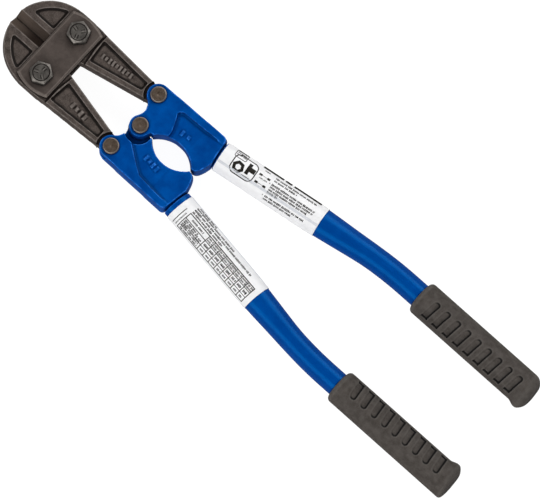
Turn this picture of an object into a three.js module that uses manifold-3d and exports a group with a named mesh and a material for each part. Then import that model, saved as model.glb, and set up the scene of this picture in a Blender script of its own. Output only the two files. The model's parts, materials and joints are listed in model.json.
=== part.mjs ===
// Bolt cutters of the 450 mm class, lying flat with the jaws closed.
// Millimetres. +X runs from the grips to the jaw tips, +Y to the left of the tool, +Z up.
// The origin is the centre of the footprint, on the surface that the tool lies on.
// Shapes are drawn about the line through the two jaw pivots and the tool's mid-plane,
// and the whole tool is moved to its origin at the end.

import * as THREE from 'three';
import { mergeVertices } from 'three/addons/utils/BufferGeometryUtils.js';
import Module from 'manifold-3d';

const wasm = await Module();
wasm.setup();

// ---------------------------------------------------------------- driving dimensions

const NOSE_REACH = 42; // jaw tips ahead of the pivot line
const GRIP_REACH = 408; // grip ends behind it
const MID_PLANE = 19; // height of the tool's mid-plane above the surface
const GAP = 0.3; // between neighbouring pieces
const BEYOND = 12; // clear of every face, for cutters

// Pivots, left side of the tool
const JAW_PIVOT = new THREE.Vector2(0, 19.5);
const LINK_PIVOT = new THREE.Vector2(-70.95, 24.75);
const CENTRE_PIVOT = new THREE.Vector2(-76.2, 0);
const CENTRE_SLACK = new THREE.Vector2(-1.15, 2.95); // travel of the centre pin in the left bracket
const SLACK_SPREAD = 0.4; // how far that travel bows sideways
const JAW_SWING = 8.84; // degrees that each jaw opens

// Jaws, half thicknesses from the mid-plane
const HEAD_HALF = 6; // under the head plates and at the nose
const ARM_HALF = 7.2; // along the ribbed arm
const ARM_WEB_HALF = 5.2; // floor of the recess between the ribs
const NOSE_POCKET_HALF = 4.6;
const LUG_HALF = 5; // inside the bracket's fork
const LUG_RADIUS = 8.05;
const HEAD_WIDTH_HALF = 33.8;
const ARM_SLOPE_INNER = 0.2067;
const ARM_SLOPE_OUTER = 0.06;
const BEVEL_WIDTH = 5.9; // cutting bevel on each side of the edge
const EDGE_LAND_HALF = 0.5; // half height of the blunt cutting edge
const EDGE_REAR = 7; // where the cutting bevel ends, near the throat
const EDGE_BEVEL = 0.7; // on the rims of the forgings

// Head plates
const PLATE_HALF_LENGTH = 14;
const PLATE_END_RADIUS = 32.5;
const PLATE_THICKNESS = 3.3;
const PLATE_LOW = HEAD_HALF + GAP;
const PLATE_HIGH = PLATE_LOW + PLATE_THICKNESS;

// Pivot bolts, across flats
const BOLT_FLATS = 15;
const BOLT_HEAD_HEIGHT = 6.4;
const BOLT_RADIUS = 4.85;
const NUT_HEIGHT = 6.2;
const LOCK_WASHER = { radius: 8.2, thickness: 1.7, split: 1.4 };

// Link and centre pins
const PIN_HEAD_RADIUS = 5.85;
const PIN_HEAD_HEIGHT = 2.4;
const PIN_RADIUS = 4;
const PIN_NUT_FLATS = 12.5;
const PIN_NUT_HEIGHT = 4.6;
const PIN_WASHER = { radius: 7.2, thickness: 1.2 };

// Brackets
const BRACKET_HALF = 9.3;
const LOBE_RADIUS = 9.1; // round the link pin
const EAR_RADIUS = 8.8; // round the centre pin
const FRONT_HOLLOW_RADIUS = 8; // between lobe and ear
const WINDOW_RADIUS = 22.8; // bow between the two brackets
const WINDOW_CENTRE = new THREE.Vector2(-105.5, -14.2);
const BUMPER = new THREE.Vector2(-124.8, 0.3); // crest of the closing stop
const WEB_HALF = 6.8; // floor of the recesses in the bracket's faces
const TANG_LENGTH = 26; // of the stub inside the handle tube
const RAMP = { from: -112, to: -129 }; // where the floor climbs to the full thickness again

// Handle tubes, grips and labels
const HANDLE_ANGLE = THREE.MathUtils.degToRad(8.2); // the front run leans outwards by this
const BRACKET_REAR = new THREE.Vector2(-130.8, 22.7); // where the tube's axis leaves the bracket
const BEND_RADIUS = 300;
const GRIP_AXIS_Y = 42.7;
const TUBE_WALL = 1.6;
const TUBE_FRONT = { across: 11, up: 8.2 }; // half widths of the flattened front
const TUBE_REAR = { across: 9, up: 9 };
const TUBE_ROUNDING = { from: 72, to: 134 }; // along the axis, where oval turns to round
const TUBE_END_INSIDE_GRIP = 6;
const LABEL_LENGTH = 84.5;
const LABEL_START = { left: 4, right: 1 };
const LABEL_THICKNESS = 0.35;
const LABEL_GAP = 0.15;
const GRIP_LENGTH = 106;
const GRIP_HALF = { across: 12.8, up: 13.1 };
const GRIP_STOP_HEIGHT = 1.7; // swelling on the inner side that stops the hand
const GRIP_END_RADIUS = { left: 4, right: 6 };

// ---------------------------------------------------------------- solids

/** A closed geometry as a solid that can be cut and joined. */
function asSolid(geometry) {
  const bare = geometry.clone();
  bare.deleteAttribute('normal');
  bare.deleteAttribute('uv');
  const merged = mergeVertices(bare, 1e-4);
  return new wasm.Manifold(new wasm.Mesh({
    numProp: 3,
    vertProperties: new Float32Array(merged.attributes.position.array),
    triVerts: new Uint32Array(merged.index.array),
  }));
}

/** The geometry of a solid. */
function asGeometry(solid) {
  const mesh = solid.getMesh();
  const geometry = new THREE.BufferGeometry();
  geometry.setAttribute('position', new THREE.BufferAttribute(mesh.vertProperties, 3));
  geometry.setIndex(new THREE.BufferAttribute(mesh.triVerts, 1));
  geometry.computeVertexNormals();
  return geometry;
}

/** The same piece for the right side of the tool. */
function mirrored(geometry) {
  const flipped = geometry.clone();
  flipped.scale(1, -1, 1);
  const index = flipped.index.array;
  for (let i = 0; i < index.length; i += 3) {
    [index[i], index[i + 1]] = [index[i + 1], index[i]];
  }
  flipped.computeVertexNormals();
  return flipped;
}

/** Points along an arc, angles in degrees, a step about every 1.6 mm. */
function arc(centre, radius, from, to) {
  const span = THREE.MathUtils.degToRad(to - from);
  const steps = Math.max(3, Math.ceil(Math.abs(span) * radius / 1.6));
  return Array.from({ length: steps + 1 }, (_, i) => {
    const angle = THREE.MathUtils.degToRad(from) + span * i / steps;
    return new THREE.Vector2(centre.x + radius * Math.cos(angle), centre.y + radius * Math.sin(angle));
  });
}

/** The angle in degrees of the direction from one point to another. */
function bearing(from, to) {
  return THREE.MathUtils.radToDeg(Math.atan2(to.y - from.y, to.x - from.x));
}

function point(x, y) {
  return new THREE.Vector2(x, y);
}

function prism(outline, low, high) {
  const geometry = new THREE.ExtrudeGeometry(new THREE.Shape(outline), {
    depth: high - low,
    bevelEnabled: false,
  });
  return asSolid(geometry.translate(0, 0, low));
}

/** A prism whose top and bottom edges are bevelled by run (sideways) and rise (along Z). */
function bevelledPrism(outline, low, high, run, rise) {
  const geometry = new THREE.ExtrudeGeometry(new THREE.Shape(outline), {
    depth: high - low - 2 * rise,
    bevelEnabled: true,
    bevelThickness: rise,
    bevelSize: run,
    bevelOffset: -run,
    bevelSegments: 1,
  });
  return asSolid(geometry.translate(0, 0, low + rise));
}

/** A cutter for a recess with sloping walls: the outline is its floor, at height floor. */
function recessCutter(outline, floor, top, run) {
  const rise = top - floor;
  const geometry = new THREE.ExtrudeGeometry(new THREE.Shape(outline), {
    depth: 2,
    bevelEnabled: true,
    bevelThickness: rise,
    bevelSize: run,
    bevelOffset: 0,
    bevelSegments: 1,
  });
  return asSolid(geometry.translate(0, 0, floor + rise));
}

/** The same cutter on the underside. */
function under(solid) {
  return solid.rotate([180, 0, 0]).mirror([0, 1, 0]);
}

/** An upright cylinder. */
function cylinder(centre, radius, low, high, sides = 24) {
  const geometry = new THREE.CylinderGeometry(radius, radius, high - low, sides);
  geometry.rotateX(Math.PI / 2);
  return asSolid(geometry.translate(centre.x, centre.y, (low + high) / 2));
}

/** Two discs and what lies between them. */
function oblong(start, end, radius, low, high) {
  const angle = bearing(start, end);
  const near = arc(start, radius, angle + 90, angle + 270);
  const far = arc(end, radius, angle - 90, angle + 90);
  return prism([...near, ...far], low, high);
}

/** An upright turned solid from its profile of [radius, height] pairs. */
function turned(centre, profile, sides = 24) {
  const geometry = new THREE.LatheGeometry(profile.map(([radius, height]) => point(radius, height)), sides);
  geometry.rotateX(Math.PI / 2);
  return asSolid(geometry.translate(centre.x, centre.y, 0));
}

/** An upright hexagonal prism with its chosen ends chamfered by a cone. */
function hexagon(centre, flats, low, high, turn, chamferLow, chamferHigh) {
  const corner = flats / Math.sqrt(3);
  const outline = arcCorners(centre, corner, turn);
  const inner = flats / 2 * 0.96;
  const drop = (corner - inner) * 0.5;
  const reach = corner + 1;
  const fall = drop * (reach - inner) / (corner - inner);
  const profile = [
    [0, low],
    [chamferLow ? inner : reach, low],
    [reach, chamferLow ? low + fall : low],
    [reach, chamferHigh ? high - fall : high],
    [chamferHigh ? inner : reach, high],
    [0, high],
  ];
  const distinct = profile.filter(([radius, height], i) => (
    i === 0 || radius !== profile[i - 1][0] || height !== profile[i - 1][1]
  ));
  return prism(outline, low, high).intersect(turned(centre, distinct));
}

function arcCorners(centre, radius, turn) {
  return Array.from({ length: 6 }, (_, i) => {
    const angle = THREE.MathUtils.degToRad(turn + 60 * i);
    return point(centre.x + radius * Math.cos(angle), centre.y + radius * Math.sin(angle));
  });
}

/** Small raised bars in a row, standing on a face, like the marks on a forging. */
function raisedBars(start, end, count, width, length, low, high) {
  const angle = Math.atan2(end.y - start.y, end.x - start.x);
  const bars = Array.from({ length: count }, (_, i) => {
    const place = start.clone().lerp(end, count > 1 ? i / (count - 1) : 0.5);
    const bar = new THREE.BoxGeometry(width, length * (i % 3 === 1 ? 0.6 : 1), high - low);
    bar.rotateZ(angle);
    return asSolid(bar.translate(place.x, place.y, (low + high) / 2));
  });
  return bars.reduce((joined, bar) => joined.add(bar));
}

// ---------------------------------------------------------------- jaws (left)

const ARM_FRONT = -15.2; // shoulder behind the head plate
const ARM_INNER_START = point(-16, 5.2);

function armInner(x) {
  return ARM_INNER_START.y + ARM_SLOPE_INNER * (ARM_INNER_START.x - x);
}

function armOuter(x) {
  return 32.7 + ARM_SLOPE_OUTER * (x + 18);
}

function jawOutline() {
  const nose = new THREE.CubicBezierCurve(
    point(NOSE_REACH, 6),
    point(NOSE_REACH, 12.5),
    point(33, HEAD_WIDTH_HALF),
    point(6, HEAD_WIDTH_HALF),
  );
  const lugTop = Math.acos((armOuter(LINK_PIVOT.x) - LINK_PIVOT.y) / LUG_RADIUS);
  return [
    point(NOSE_REACH, GAP / 2),
    ...nose.getPoints(18),
    point(-8, HEAD_WIDTH_HALF - 0.2),
    point(-18, armOuter(-18)),
    ...arc(LINK_PIVOT, LUG_RADIUS, 90 + THREE.MathUtils.radToDeg(lugTop), 282),
    ARM_INNER_START,
    point(2, GAP / 2),
  ];
}

/** What the head plate needs free of the raised arm, with the jaw closed and open. */
function plateClearance(low, high) {
  const margin = 5;
  const opened = ARM_FRONT - JAW_PIVOT.y * Math.sin(THREE.MathUtils.degToRad(JAW_SWING));
  const outline = [
    point(NOSE_REACH + margin, -margin),
    point(NOSE_REACH + margin, HEAD_WIDTH_HALF + margin),
    point(ARM_FRONT, HEAD_WIDTH_HALF + margin),
    point(ARM_FRONT, JAW_PIVOT.y),
    point(opened, 0),
    point(opened, -margin),
  ];
  return prism(outline, low, high);
}

/** The wedge on one side of the cutting edge that is ground away. */
function bevelCutter() {
  const slope = (HEAD_HALF - EDGE_LAND_HALF) / (BEVEL_WIDTH - GAP / 2);
  const top = HEAD_HALF + 1;
  const section = [
    point(-2, EDGE_LAND_HALF),
    point(GAP / 2, EDGE_LAND_HALF),
    point(GAP / 2 + (top - EDGE_LAND_HALF) / slope, top),
    point(-2, top),
  ];
  return prism(section, EDGE_REAR, NOSE_REACH + BEYOND).rotate([90, 0, 90]);
}

function jaw(marks) {
  const pocket = [
    point(16.7, 11.6),
    point(32.6, 11.6),
    ...arc(point(6, -2), 30.4, 28, 67.5),
    point(16.7, 26.4),
  ];
  const web = [
    point(-19, armInner(-19) + 6),
    point(-17.4, 27.2),
    point(-58.6, 25.2),
    point(-58.6, 20.4),
  ];
  let body = bevelledPrism(jawOutline(), -ARM_HALF, ARM_HALF, EDGE_BEVEL, EDGE_BEVEL);
  const cutters = [
    plateClearance(HEAD_HALF, BEYOND),
    bevelCutter(),
    recessCutter(pocket, NOSE_POCKET_HALF, HEAD_HALF, 0.5),
    recessCutter(web, ARM_WEB_HALF, ARM_HALF, 0.6),
    cylinder(LINK_PIVOT, LOBE_RADIUS + 1, LUG_HALF, BEYOND, 48),
  ];
  for (const cutter of cutters) {
    body = body.subtract(cutter).subtract(under(cutter));
  }
  return asGeometry(body
    .add(marks)
    .subtract(cylinder(JAW_PIVOT, BOLT_RADIUS + GAP, -BEYOND, BEYOND))
    .subtract(cylinder(LINK_PIVOT, PIN_RADIUS + GAP, -BEYOND, BEYOND)));
}

// ---------------------------------------------------------------- head plates and fasteners

function headPlate() {
  const corner = THREE.MathUtils.radToDeg(Math.acos(PLATE_HALF_LENGTH / PLATE_END_RADIUS));
  const centre = point(0, 0);
  const outline = [
    ...arc(centre, PLATE_END_RADIUS, corner, 180 - corner),
    ...arc(centre, PLATE_END_RADIUS, 180 + corner, 360 - corner),
  ];
  const bevelRun = 1.3;
  const bevelRise = 0.8;
  let plate = bevelledPrism(outline, PLATE_LOW - bevelRise, PLATE_HIGH, bevelRun, bevelRise);
  plate = plate.subtract(cylinder(centre, PLATE_END_RADIUS + 1, 0, PLATE_LOW));
  for (const side of [1, -1]) {
    const hole = point(JAW_PIVOT.x, JAW_PIVOT.y * side);
    plate = plate.subtract(cylinder(hole, BOLT_RADIUS + GAP, 0, BEYOND));
  }
  return plate;
}

/** A round shank with a small chamfer at its lower end. */
function shank(centre, radius, low, high) {
  const chamfer = 0.6;
  const profile = [[0, low], [radius - chamfer, low], [radius, low + chamfer], [radius, high], [0, high]];
  return turned(centre, profile);
}

function pivotBolt(centre, turn) {
  const seat = PLATE_HIGH + GAP / 2;
  const head = hexagon(centre, BOLT_FLATS, seat, seat + BOLT_HEAD_HEIGHT, turn, false, true);
  return asGeometry(head.add(shank(centre, BOLT_RADIUS, -MID_PLANE, seat + 1)));
}

function lockWasher(centre) {
  const high = -PLATE_HIGH - GAP / 2;
  const low = high - LOCK_WASHER.thickness;
  const splitAngle = 0.5;
  const split = new THREE.BoxGeometry(LOCK_WASHER.radius, LOCK_WASHER.split, LOCK_WASHER.radius)
    .translate(-LOCK_WASHER.radius, 0, 0)
    .rotateZ(splitAngle)
    .translate(centre.x, centre.y, high);
  const washer = ring(centre, BOLT_RADIUS + GAP, LOCK_WASHER.radius, low, high);
  return asGeometry(washer.subtract(asSolid(split)));
}

function ring(centre, inner, outer, low, high) {
  return cylinder(centre, outer, low, high, 28).subtract(cylinder(centre, inner, low - 1, high + 1));
}

function nut(centre, flats, bore, low, high, turn) {
  return asGeometry(hexagon(centre, flats, low, high, turn, true, true)
    .subtract(cylinder(centre, bore, low - 1, high + 1)));
}

function pivotNut(centre, turn) {
  const high = -PLATE_HIGH - LOCK_WASHER.thickness - GAP;
  return nut(centre, BOLT_FLATS, BOLT_RADIUS + GAP, high - NUT_HEIGHT, high, turn);
}

const PIN_WASHER_HIGH = -BRACKET_HALF - GAP / 2;
const PIN_NUT_HIGH = PIN_WASHER_HIGH - PIN_WASHER.thickness - GAP / 2;

function pin(centre) {
  const seat = BRACKET_HALF + GAP / 2;
  const top = seat + PIN_HEAD_HEIGHT;
  const chamfer = 0.8;
  const head = turned(centre, [
    [0, seat],
    [PIN_HEAD_RADIUS, seat],
    [PIN_HEAD_RADIUS, top - chamfer],
    [PIN_HEAD_RADIUS - chamfer, top],
    [0, top],
  ], 32);
  const low = PIN_NUT_HIGH - PIN_NUT_HEIGHT - 0.8;
  return asGeometry(head.add(shank(centre, PIN_RADIUS, low, seat + 1)));
}

function pinWasher(centre) {
  const low = PIN_WASHER_HIGH - PIN_WASHER.thickness;
  return asGeometry(ring(centre, PIN_RADIUS + GAP, PIN_WASHER.radius, low, PIN_WASHER_HIGH));
}

function pinNut(centre, turn) {
  const low = PIN_NUT_HIGH - PIN_NUT_HEIGHT;
  return nut(centre, PIN_NUT_FLATS, PIN_RADIUS + GAP, low, PIN_NUT_HIGH, turn);
}

// ---------------------------------------------------------------- brackets (left)

/** The centre of the hollow that touches both the lobe and the ear in front of them. */
function frontHollow() {
  const toLobe = LOBE_RADIUS + FRONT_HOLLOW_RADIUS;
  const toEar = EAR_RADIUS + FRONT_HOLLOW_RADIUS;
  const apart = LINK_PIVOT.distanceTo(CENTRE_PIVOT);
  const along = (apart ** 2 + toLobe ** 2 - toEar ** 2) / (2 * apart);
  const across = Math.sqrt(toLobe ** 2 - along ** 2);
  const axis = CENTRE_PIVOT.clone().sub(LINK_PIVOT).normalize();
  const sideways = point(-axis.y, axis.x);
  return LINK_PIVOT.clone().addScaledVector(axis, along).addScaledVector(sideways, across);
}

/** The outline of a bracket, once round anticlockwise. */
function bracketOutline() {
  const hollow = frontHollow();
  const toEar = bearing(hollow, CENTRE_PIVOT);
  const toLobe = bearing(hollow, LINK_PIVOT);
  const windowEnd = Math.acos((BUMPER.y - WINDOW_CENTRE.y) / WINDOW_RADIUS);
  const windowFront = point(WINDOW_CENTRE.x + WINDOW_RADIUS * Math.sin(windowEnd), BUMPER.y);
  const windowRear = point(WINDOW_CENTRE.x - WINDOW_RADIUS * Math.sin(windowEnd), BUMPER.y);
  const earRear = point(CENTRE_PIVOT.x - EAR_RADIUS - 2 * GAP, BUMPER.y);
  const earTangent = bearing(CENTRE_PIVOT, earRear)
    + THREE.MathUtils.radToDeg(Math.acos(EAR_RADIUS / CENTRE_PIVOT.distanceTo(earRear)));
  const windowStart = bearing(WINDOW_CENTRE, windowRear);
  const rearCorner = point(-125.2, 30.7);
  const rearInner = point(-132.2, 13.2);
  const bumper = new THREE.CubicBezierCurve(rearInner, point(-131.2, 6.5), point(-128.8, BUMPER.y), BUMPER);
  return [
    ...arc(CENTRE_PIVOT, EAR_RADIUS, earTangent, 360 + bearing(CENTRE_PIVOT, hollow)),
    ...arc(hollow, FRONT_HOLLOW_RADIUS, toEar, toLobe - 360).slice(1, -1),
    ...arc(LINK_PIVOT, LOBE_RADIUS, bearing(LINK_PIVOT, hollow), 91),
    ...arc(rearCorner, 4, 91, 172),
    ...bumper.getPoints(7),
    ...arc(WINDOW_CENTRE, WINDOW_RADIUS, windowStart, bearing(WINDOW_CENTRE, windowFront)),
    earRear,
  ];
}

/** Room for the jaw's lug and arm between the two leaves of the fork. */
function forkSlot() {
  const half = LUG_HALF + GAP;
  const behind = LINK_PIVOT.x - 2;
  const inner = LINK_PIVOT.y - 9.7;
  const mouth = [
    point(behind, inner),
    point(behind + BEYOND * 2, inner),
    point(behind + BEYOND * 2, inner + BEYOND * 2),
    point(behind, inner + BEYOND * 2),
  ];
  return cylinder(LINK_PIVOT, LUG_RADIUS + 0.5, -half, half, 48).add(prism(mouth, -half, half));
}

/** The stub at the back of the bracket that the handle tube is pressed over. */
function tang() {
  const rooted = 4;
  const wall = TUBE_WALL + GAP;
  const stub = new THREE.CylinderGeometry(1, 1, TANG_LENGTH + rooted, 32).rotateZ(Math.PI / 2);
  stub.scale(1, TUBE_FRONT.across - wall, TUBE_FRONT.up - wall);
  stub.translate((rooted - TANG_LENGTH) / 2, 0, 0);
  stub.rotateZ(-HANDLE_ANGLE);
  return asSolid(stub.translate(BRACKET_REAR.x, BRACKET_REAR.y, 0));
}

/**
 * The recess in a bracket's face. It lies behind a step and inside the outer rim, runs out
 * over the window's edge, and its floor climbs back to the full thickness at the rear.
 */
function faceRecess(step) {
  const outline = [
    point(step[0].x, -BEYOND),
    ...step,
    point(RAMP.from, 26.8),
    point(RAMP.to, 27.8),
    point(RAMP.to, -BEYOND),
  ];
  const floor = [
    point(0, WEB_HALF),
    point(RAMP.from, WEB_HALF),
    point(RAMP.to, BRACKET_HALF),
    point(RAMP.to, BEYOND),
    point(0, BEYOND),
  ];
  return recessCutter(outline, WEB_HALF, BRACKET_HALF, 0.8)
    .intersect(prism(floor, -4 * BEYOND, 2 * BEYOND).rotate([90, 0, 0]));
}

/** On one face the step runs beside the other bracket's ear. */
const bandStep = [
  point(-70.5, 7),
  point(-77.9, 10.2),
  point(-85.1, 15.4),
  point(-93.3, 21.3),
  point(-100, 25.6),
];

/** On the other face it runs behind both pins. */
const pinStep = [
  point(-97.2, 9),
  point(-96.6, 12.5),
  point(-94.6, 17.6),
  point(-91.2, 24.4),
  point(-93.4, 26.2),
];

/**
 * The left bracket. Its ear is the lower half of the lap at the centre pin; its upper face
 * has a raised band past the link pin and a pocket that the other ear lies in. Both brackets
 * are the same forging, so the right one is this one turned over about the tool's axis.
 */
function bracket(centreHole, marks) {
  return asGeometry(bevelledPrism(bracketOutline(), -BRACKET_HALF, BRACKET_HALF, EDGE_BEVEL, EDGE_BEVEL)
    .subtract(faceRecess(bandStep))
    .subtract(under(faceRecess(pinStep)))
    .add(marks)
    .subtract(earPocket())
    .subtract(forkSlot())
    .add(tang())
    .subtract(cylinder(LINK_PIVOT, PIN_RADIUS + GAP, -BEYOND, BEYOND))
    .subtract(centreHole));
}

/** Room for the other bracket's ear and its travel, squared off at the front hollow. */
function earPocket() {
  const end = CENTRE_PIVOT.clone().add(CENTRE_SLACK);
  const corner = point(end.x + BEYOND, 10.8);
  const front = [end, point(corner.x, end.y), corner, point(end.x, corner.y)];
  return oblong(CENTRE_PIVOT, end, EAR_RADIUS + GAP + SLACK_SPREAD, -GAP / 2, BEYOND)
    .add(prism(front, -GAP / 2, BEYOND));
}

/** The right bracket's ear carries the pin; the left one is slotted for the pin's travel. */
function roundCentreHole() {
  return cylinder(CENTRE_PIVOT, PIN_RADIUS + GAP, -BEYOND, BEYOND);
}

function slottedCentreHole() {
  const end = CENTRE_PIVOT.clone().add(CENTRE_SLACK);
  return oblong(CENTRE_PIVOT, end, PIN_RADIUS + GAP + SLACK_SPREAD, -BEYOND, BEYOND);
}

// ---------------------------------------------------------------- handle tubes, labels, grips (left)

const BEND_START = (GRIP_AXIS_Y - BRACKET_REAR.y - BEND_RADIUS * (1 - Math.cos(HANDLE_ANGLE)))
  / Math.sin(HANDLE_ANGLE);
const BEND_LENGTH = BEND_RADIUS * HANDLE_ANGLE;
const BEND_END_X = BRACKET_REAR.x - BEND_START * Math.cos(HANDLE_ANGLE)
  - BEND_RADIUS * Math.sin(HANDLE_ANGLE);
const TUBE_LENGTH = BEND_START + BEND_LENGTH + BEND_END_X + GRIP_REACH - TUBE_END_INSIDE_GRIP;
const GRIP_START = BEND_START + BEND_LENGTH + BEND_END_X + GRIP_REACH - GRIP_LENGTH;

/** The handle's axis at a distance along it: a straight run, a bend, a straight run. */
function handleAxis(distance) {
  const straight = Math.min(distance, BEND_START);
  const turnedBy = THREE.MathUtils.clamp((distance - BEND_START) / BEND_RADIUS, 0, HANDLE_ANGLE);
  const rest = Math.max(0, distance - BEND_START - BEND_LENGTH);
  const lean = HANDLE_ANGLE - turnedBy;
  const x = BRACKET_REAR.x - straight * Math.cos(HANDLE_ANGLE)
    - BEND_RADIUS * (Math.sin(HANDLE_ANGLE) - Math.sin(lean)) - rest;
  const y = BRACKET_REAR.y + straight * Math.sin(HANDLE_ANGLE)
    + BEND_RADIUS * (Math.cos(lean) - Math.cos(HANDLE_ANGLE));
  return { x, y, lean };
}

/** Half widths of the tube at a distance along it. */
function tubeSection(distance) {
  const round = THREE.MathUtils.smoothstep(distance, TUBE_ROUNDING.from, TUBE_ROUNDING.to);
  return {
    across: THREE.MathUtils.lerp(TUBE_FRONT.across, TUBE_REAR.across, round),
    up: THREE.MathUtils.lerp(TUBE_FRONT.up, TUBE_REAR.up, round),
  };
}

/**
 * A sleeve along the handle's axis: a straight ring extruded in steps, then laid along the
 * axis with one step at each station and the tube's section grown by inner and outer.
 */
function sleeve(stations, inner, outer) {
  const shape = new THREE.Shape().absarc(0, 0, 2, 0, 2 * Math.PI, false);
  shape.holes.push(new THREE.Path().absarc(0, 0, 1, 0, 2 * Math.PI, true));
  const geometry = new THREE.ExtrudeGeometry(shape, {
    depth: stations.length - 1,
    steps: stations.length - 1,
    bevelEnabled: false,
    curveSegments: 10,
  });
  const position = geometry.attributes.position;
  for (let i = 0; i < position.count; i++) {
    const radius = Math.hypot(position.getX(i), position.getY(i));
    const side = position.getX(i) / radius;
    const up = position.getY(i) / radius;
    const distance = stations[Math.round(position.getZ(i))];
    const section = tubeSection(distance);
    const grow = radius > 1.5 ? outer : inner;
    const axis = handleAxis(distance);
    const offset = side * (section.across + grow);
    position.setXYZ(
      i,
      axis.x - offset * Math.sin(axis.lean),
      axis.y - offset * Math.cos(axis.lean),
      up * (section.up + grow),
    );
  }
  return asGeometry(asSolid(geometry));
}

function handleTube() {
  const shaped = Array.from({ length: 13 }, (_, i) => TUBE_ROUNDING.from + i * 9);
  return sleeve([GAP, ...shaped, TUBE_LENGTH], -TUBE_WALL, 0);
}

function label(start) {
  const stations = [start, TUBE_ROUNDING.from, TUBE_ROUNDING.from + 9, start + LABEL_LENGTH];
  return sleeve(stations, LABEL_GAP, LABEL_GAP + LABEL_THICKNESS);
}

/** A rubber sleeve with a closed end, rounded by dome. Its inner side swells near the end. */
function grip(dome) {
  const bore = (TUBE_REAR.across + GAP) / GRIP_HALF.across;
  const lead = 3.2;
  const front = Array.from({ length: 4 }, (_, i) => {
    const angle = Math.PI / 2 * i / 3;
    return point(1 - lead / GRIP_HALF.across * (1 - Math.sin(angle)), lead * (1 - Math.cos(angle)));
  });
  const end = Array.from({ length: 5 }, (_, i) => {
    const angle = Math.PI / 2 * i / 5;
    return point((1 - dome / GRIP_HALF.across) + dome / GRIP_HALF.across * Math.cos(angle),
      GRIP_LENGTH - dome + dome * Math.sin(angle));
  });
  const stopStart = GRIP_LENGTH - 12;
  const wall = [0, 1, 2, 3, 4].map((i) => point(1, stopStart + i * (GRIP_LENGTH - dome - stopStart) / 5));
  const boreEnd = GRIP_LENGTH - TUBE_END_INSIDE_GRIP + GAP;
  const inside = [point(0, boreEnd), point(bore, boreEnd), point(bore, 0)];
  const profile = [...inside, ...front, ...wall, ...end, point(0, GRIP_LENGTH)];
  const geometry = new THREE.LatheGeometry(profile, 28);
  const position = geometry.attributes.position;
  const startX = -(GRIP_REACH - GRIP_LENGTH);
  for (let i = 0; i < position.count; i++) {
    const side = position.getX(i);
    const along = position.getY(i);
    const up = position.getZ(i);
    const nearEnd = THREE.MathUtils.smoothstep(along, stopStart, stopStart + 6)
      * (1 - THREE.MathUtils.smoothstep(along, GRIP_LENGTH - 5, GRIP_LENGTH));
    const swell = Math.hypot(side, up) > 0.8 && side < 0 ? GRIP_STOP_HEIGHT * nearEnd * side * side : 0;
    position.setXYZ(i, startX - along, GRIP_AXIS_Y + side * GRIP_HALF.across - swell, up * GRIP_HALF.up);
  }
  return asGeometry(asSolid(geometry));
}

// ---------------------------------------------------------------- materials

const jawSteel = { color: 0x463c39, roughness: 0.55, metalness: 0.6 };
const boltSteel = { color: 0x5a5652, roughness: 0.4, metalness: 0.8 };
const pinSteel = { color: 0x66574a, roughness: 0.5, metalness: 0.7 };
const bluePaint = { color: 0x0049a4, roughness: 0.3, metalness: 0 };
const whiteFilm = { color: 0xe9e9ea, roughness: 0.3, metalness: 0 };
const darkRubber = { color: 0x47423f, roughness: 0.75, metalness: 0 };

// ---------------------------------------------------------------- assembly

const tool = new THREE.Group();
tool.position.set((GRIP_REACH - NOSE_REACH) / 2, 0, MID_PLANE);

function place(name, geometry, look) {
  const mesh = new THREE.Mesh(geometry, new THREE.MeshStandardMaterial(look));
  mesh.name = name;
  tool.add(mesh);
}

const MARK_HALF = 0.7; // height of the raised marks

function marksOn(face, start, end, count, width, length) {
  return raisedBars(start, end, count, width, length, face - MARK_HALF, face + MARK_HALF);
}

const armMarks = {
  left: marksOn(ARM_WEB_HALF, point(-31, 20.4), point(-43, 21.6), 4, 1.9, 4.2),
  right: marksOn(ARM_WEB_HALF, point(-23, 19.6), point(-47, 22.2), 9, 1.5, 3.7),
};
place('jaw_left', jaw(armMarks.left), jawSteel);
place('jaw_right', mirrored(jaw(armMarks.right)), jawSteel);

place('head_plate_top', asGeometry(headPlate()), jawSteel);
place('head_plate_bottom', asGeometry(under(headPlate())), jawSteel);

const sides = [
  { side: 'left', sign: 1, boltTurn: 25, nutTurn: 12 },
  { side: 'right', sign: -1, boltTurn: -12, nutTurn: 40 },
];
for (const { side, sign, boltTurn, nutTurn } of sides) {
  const jawPivot = point(JAW_PIVOT.x, sign * JAW_PIVOT.y);
  const linkPivot = point(LINK_PIVOT.x, sign * LINK_PIVOT.y);
  place(`pivot_bolt_${side}`, pivotBolt(jawPivot, boltTurn), boltSteel);
  place(`lock_washer_${side}`, lockWasher(jawPivot), boltSteel);
  place(`pivot_nut_${side}`, pivotNut(jawPivot, nutTurn), boltSteel);
  place(`link_pin_${side}`, pin(linkPivot), pinSteel);
  place(`pin_washer_${side}`, pinWasher(linkPivot), pinSteel);
  place(`pin_nut_${side}`, pinNut(linkPivot, nutTurn), pinSteel);
}
place('centre_pin', pin(CENTRE_PIVOT), pinSteel);
place('pin_washer_centre', pinWasher(CENTRE_PIVOT), pinSteel);
place('pin_nut_centre', pinNut(CENTRE_PIVOT, 20), pinSteel);

const upperMarks = marksOn(WEB_HALF, point(-94.7, 13.9), point(-105.4, 15.3), 4, 1.8, 3.9);
const lowerMarks = marksOn(-WEB_HALF, point(-101.6, 16), point(-107, 16.4), 2, 1.9, 3.7);
const bracketMarks = upperMarks.add(lowerMarks);
place('bracket_left', bracket(slottedCentreHole(), bracketMarks), bluePaint);
place('bracket_right', bracket(roundCentreHole(), bracketMarks).rotateX(Math.PI), bluePaint);

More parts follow.
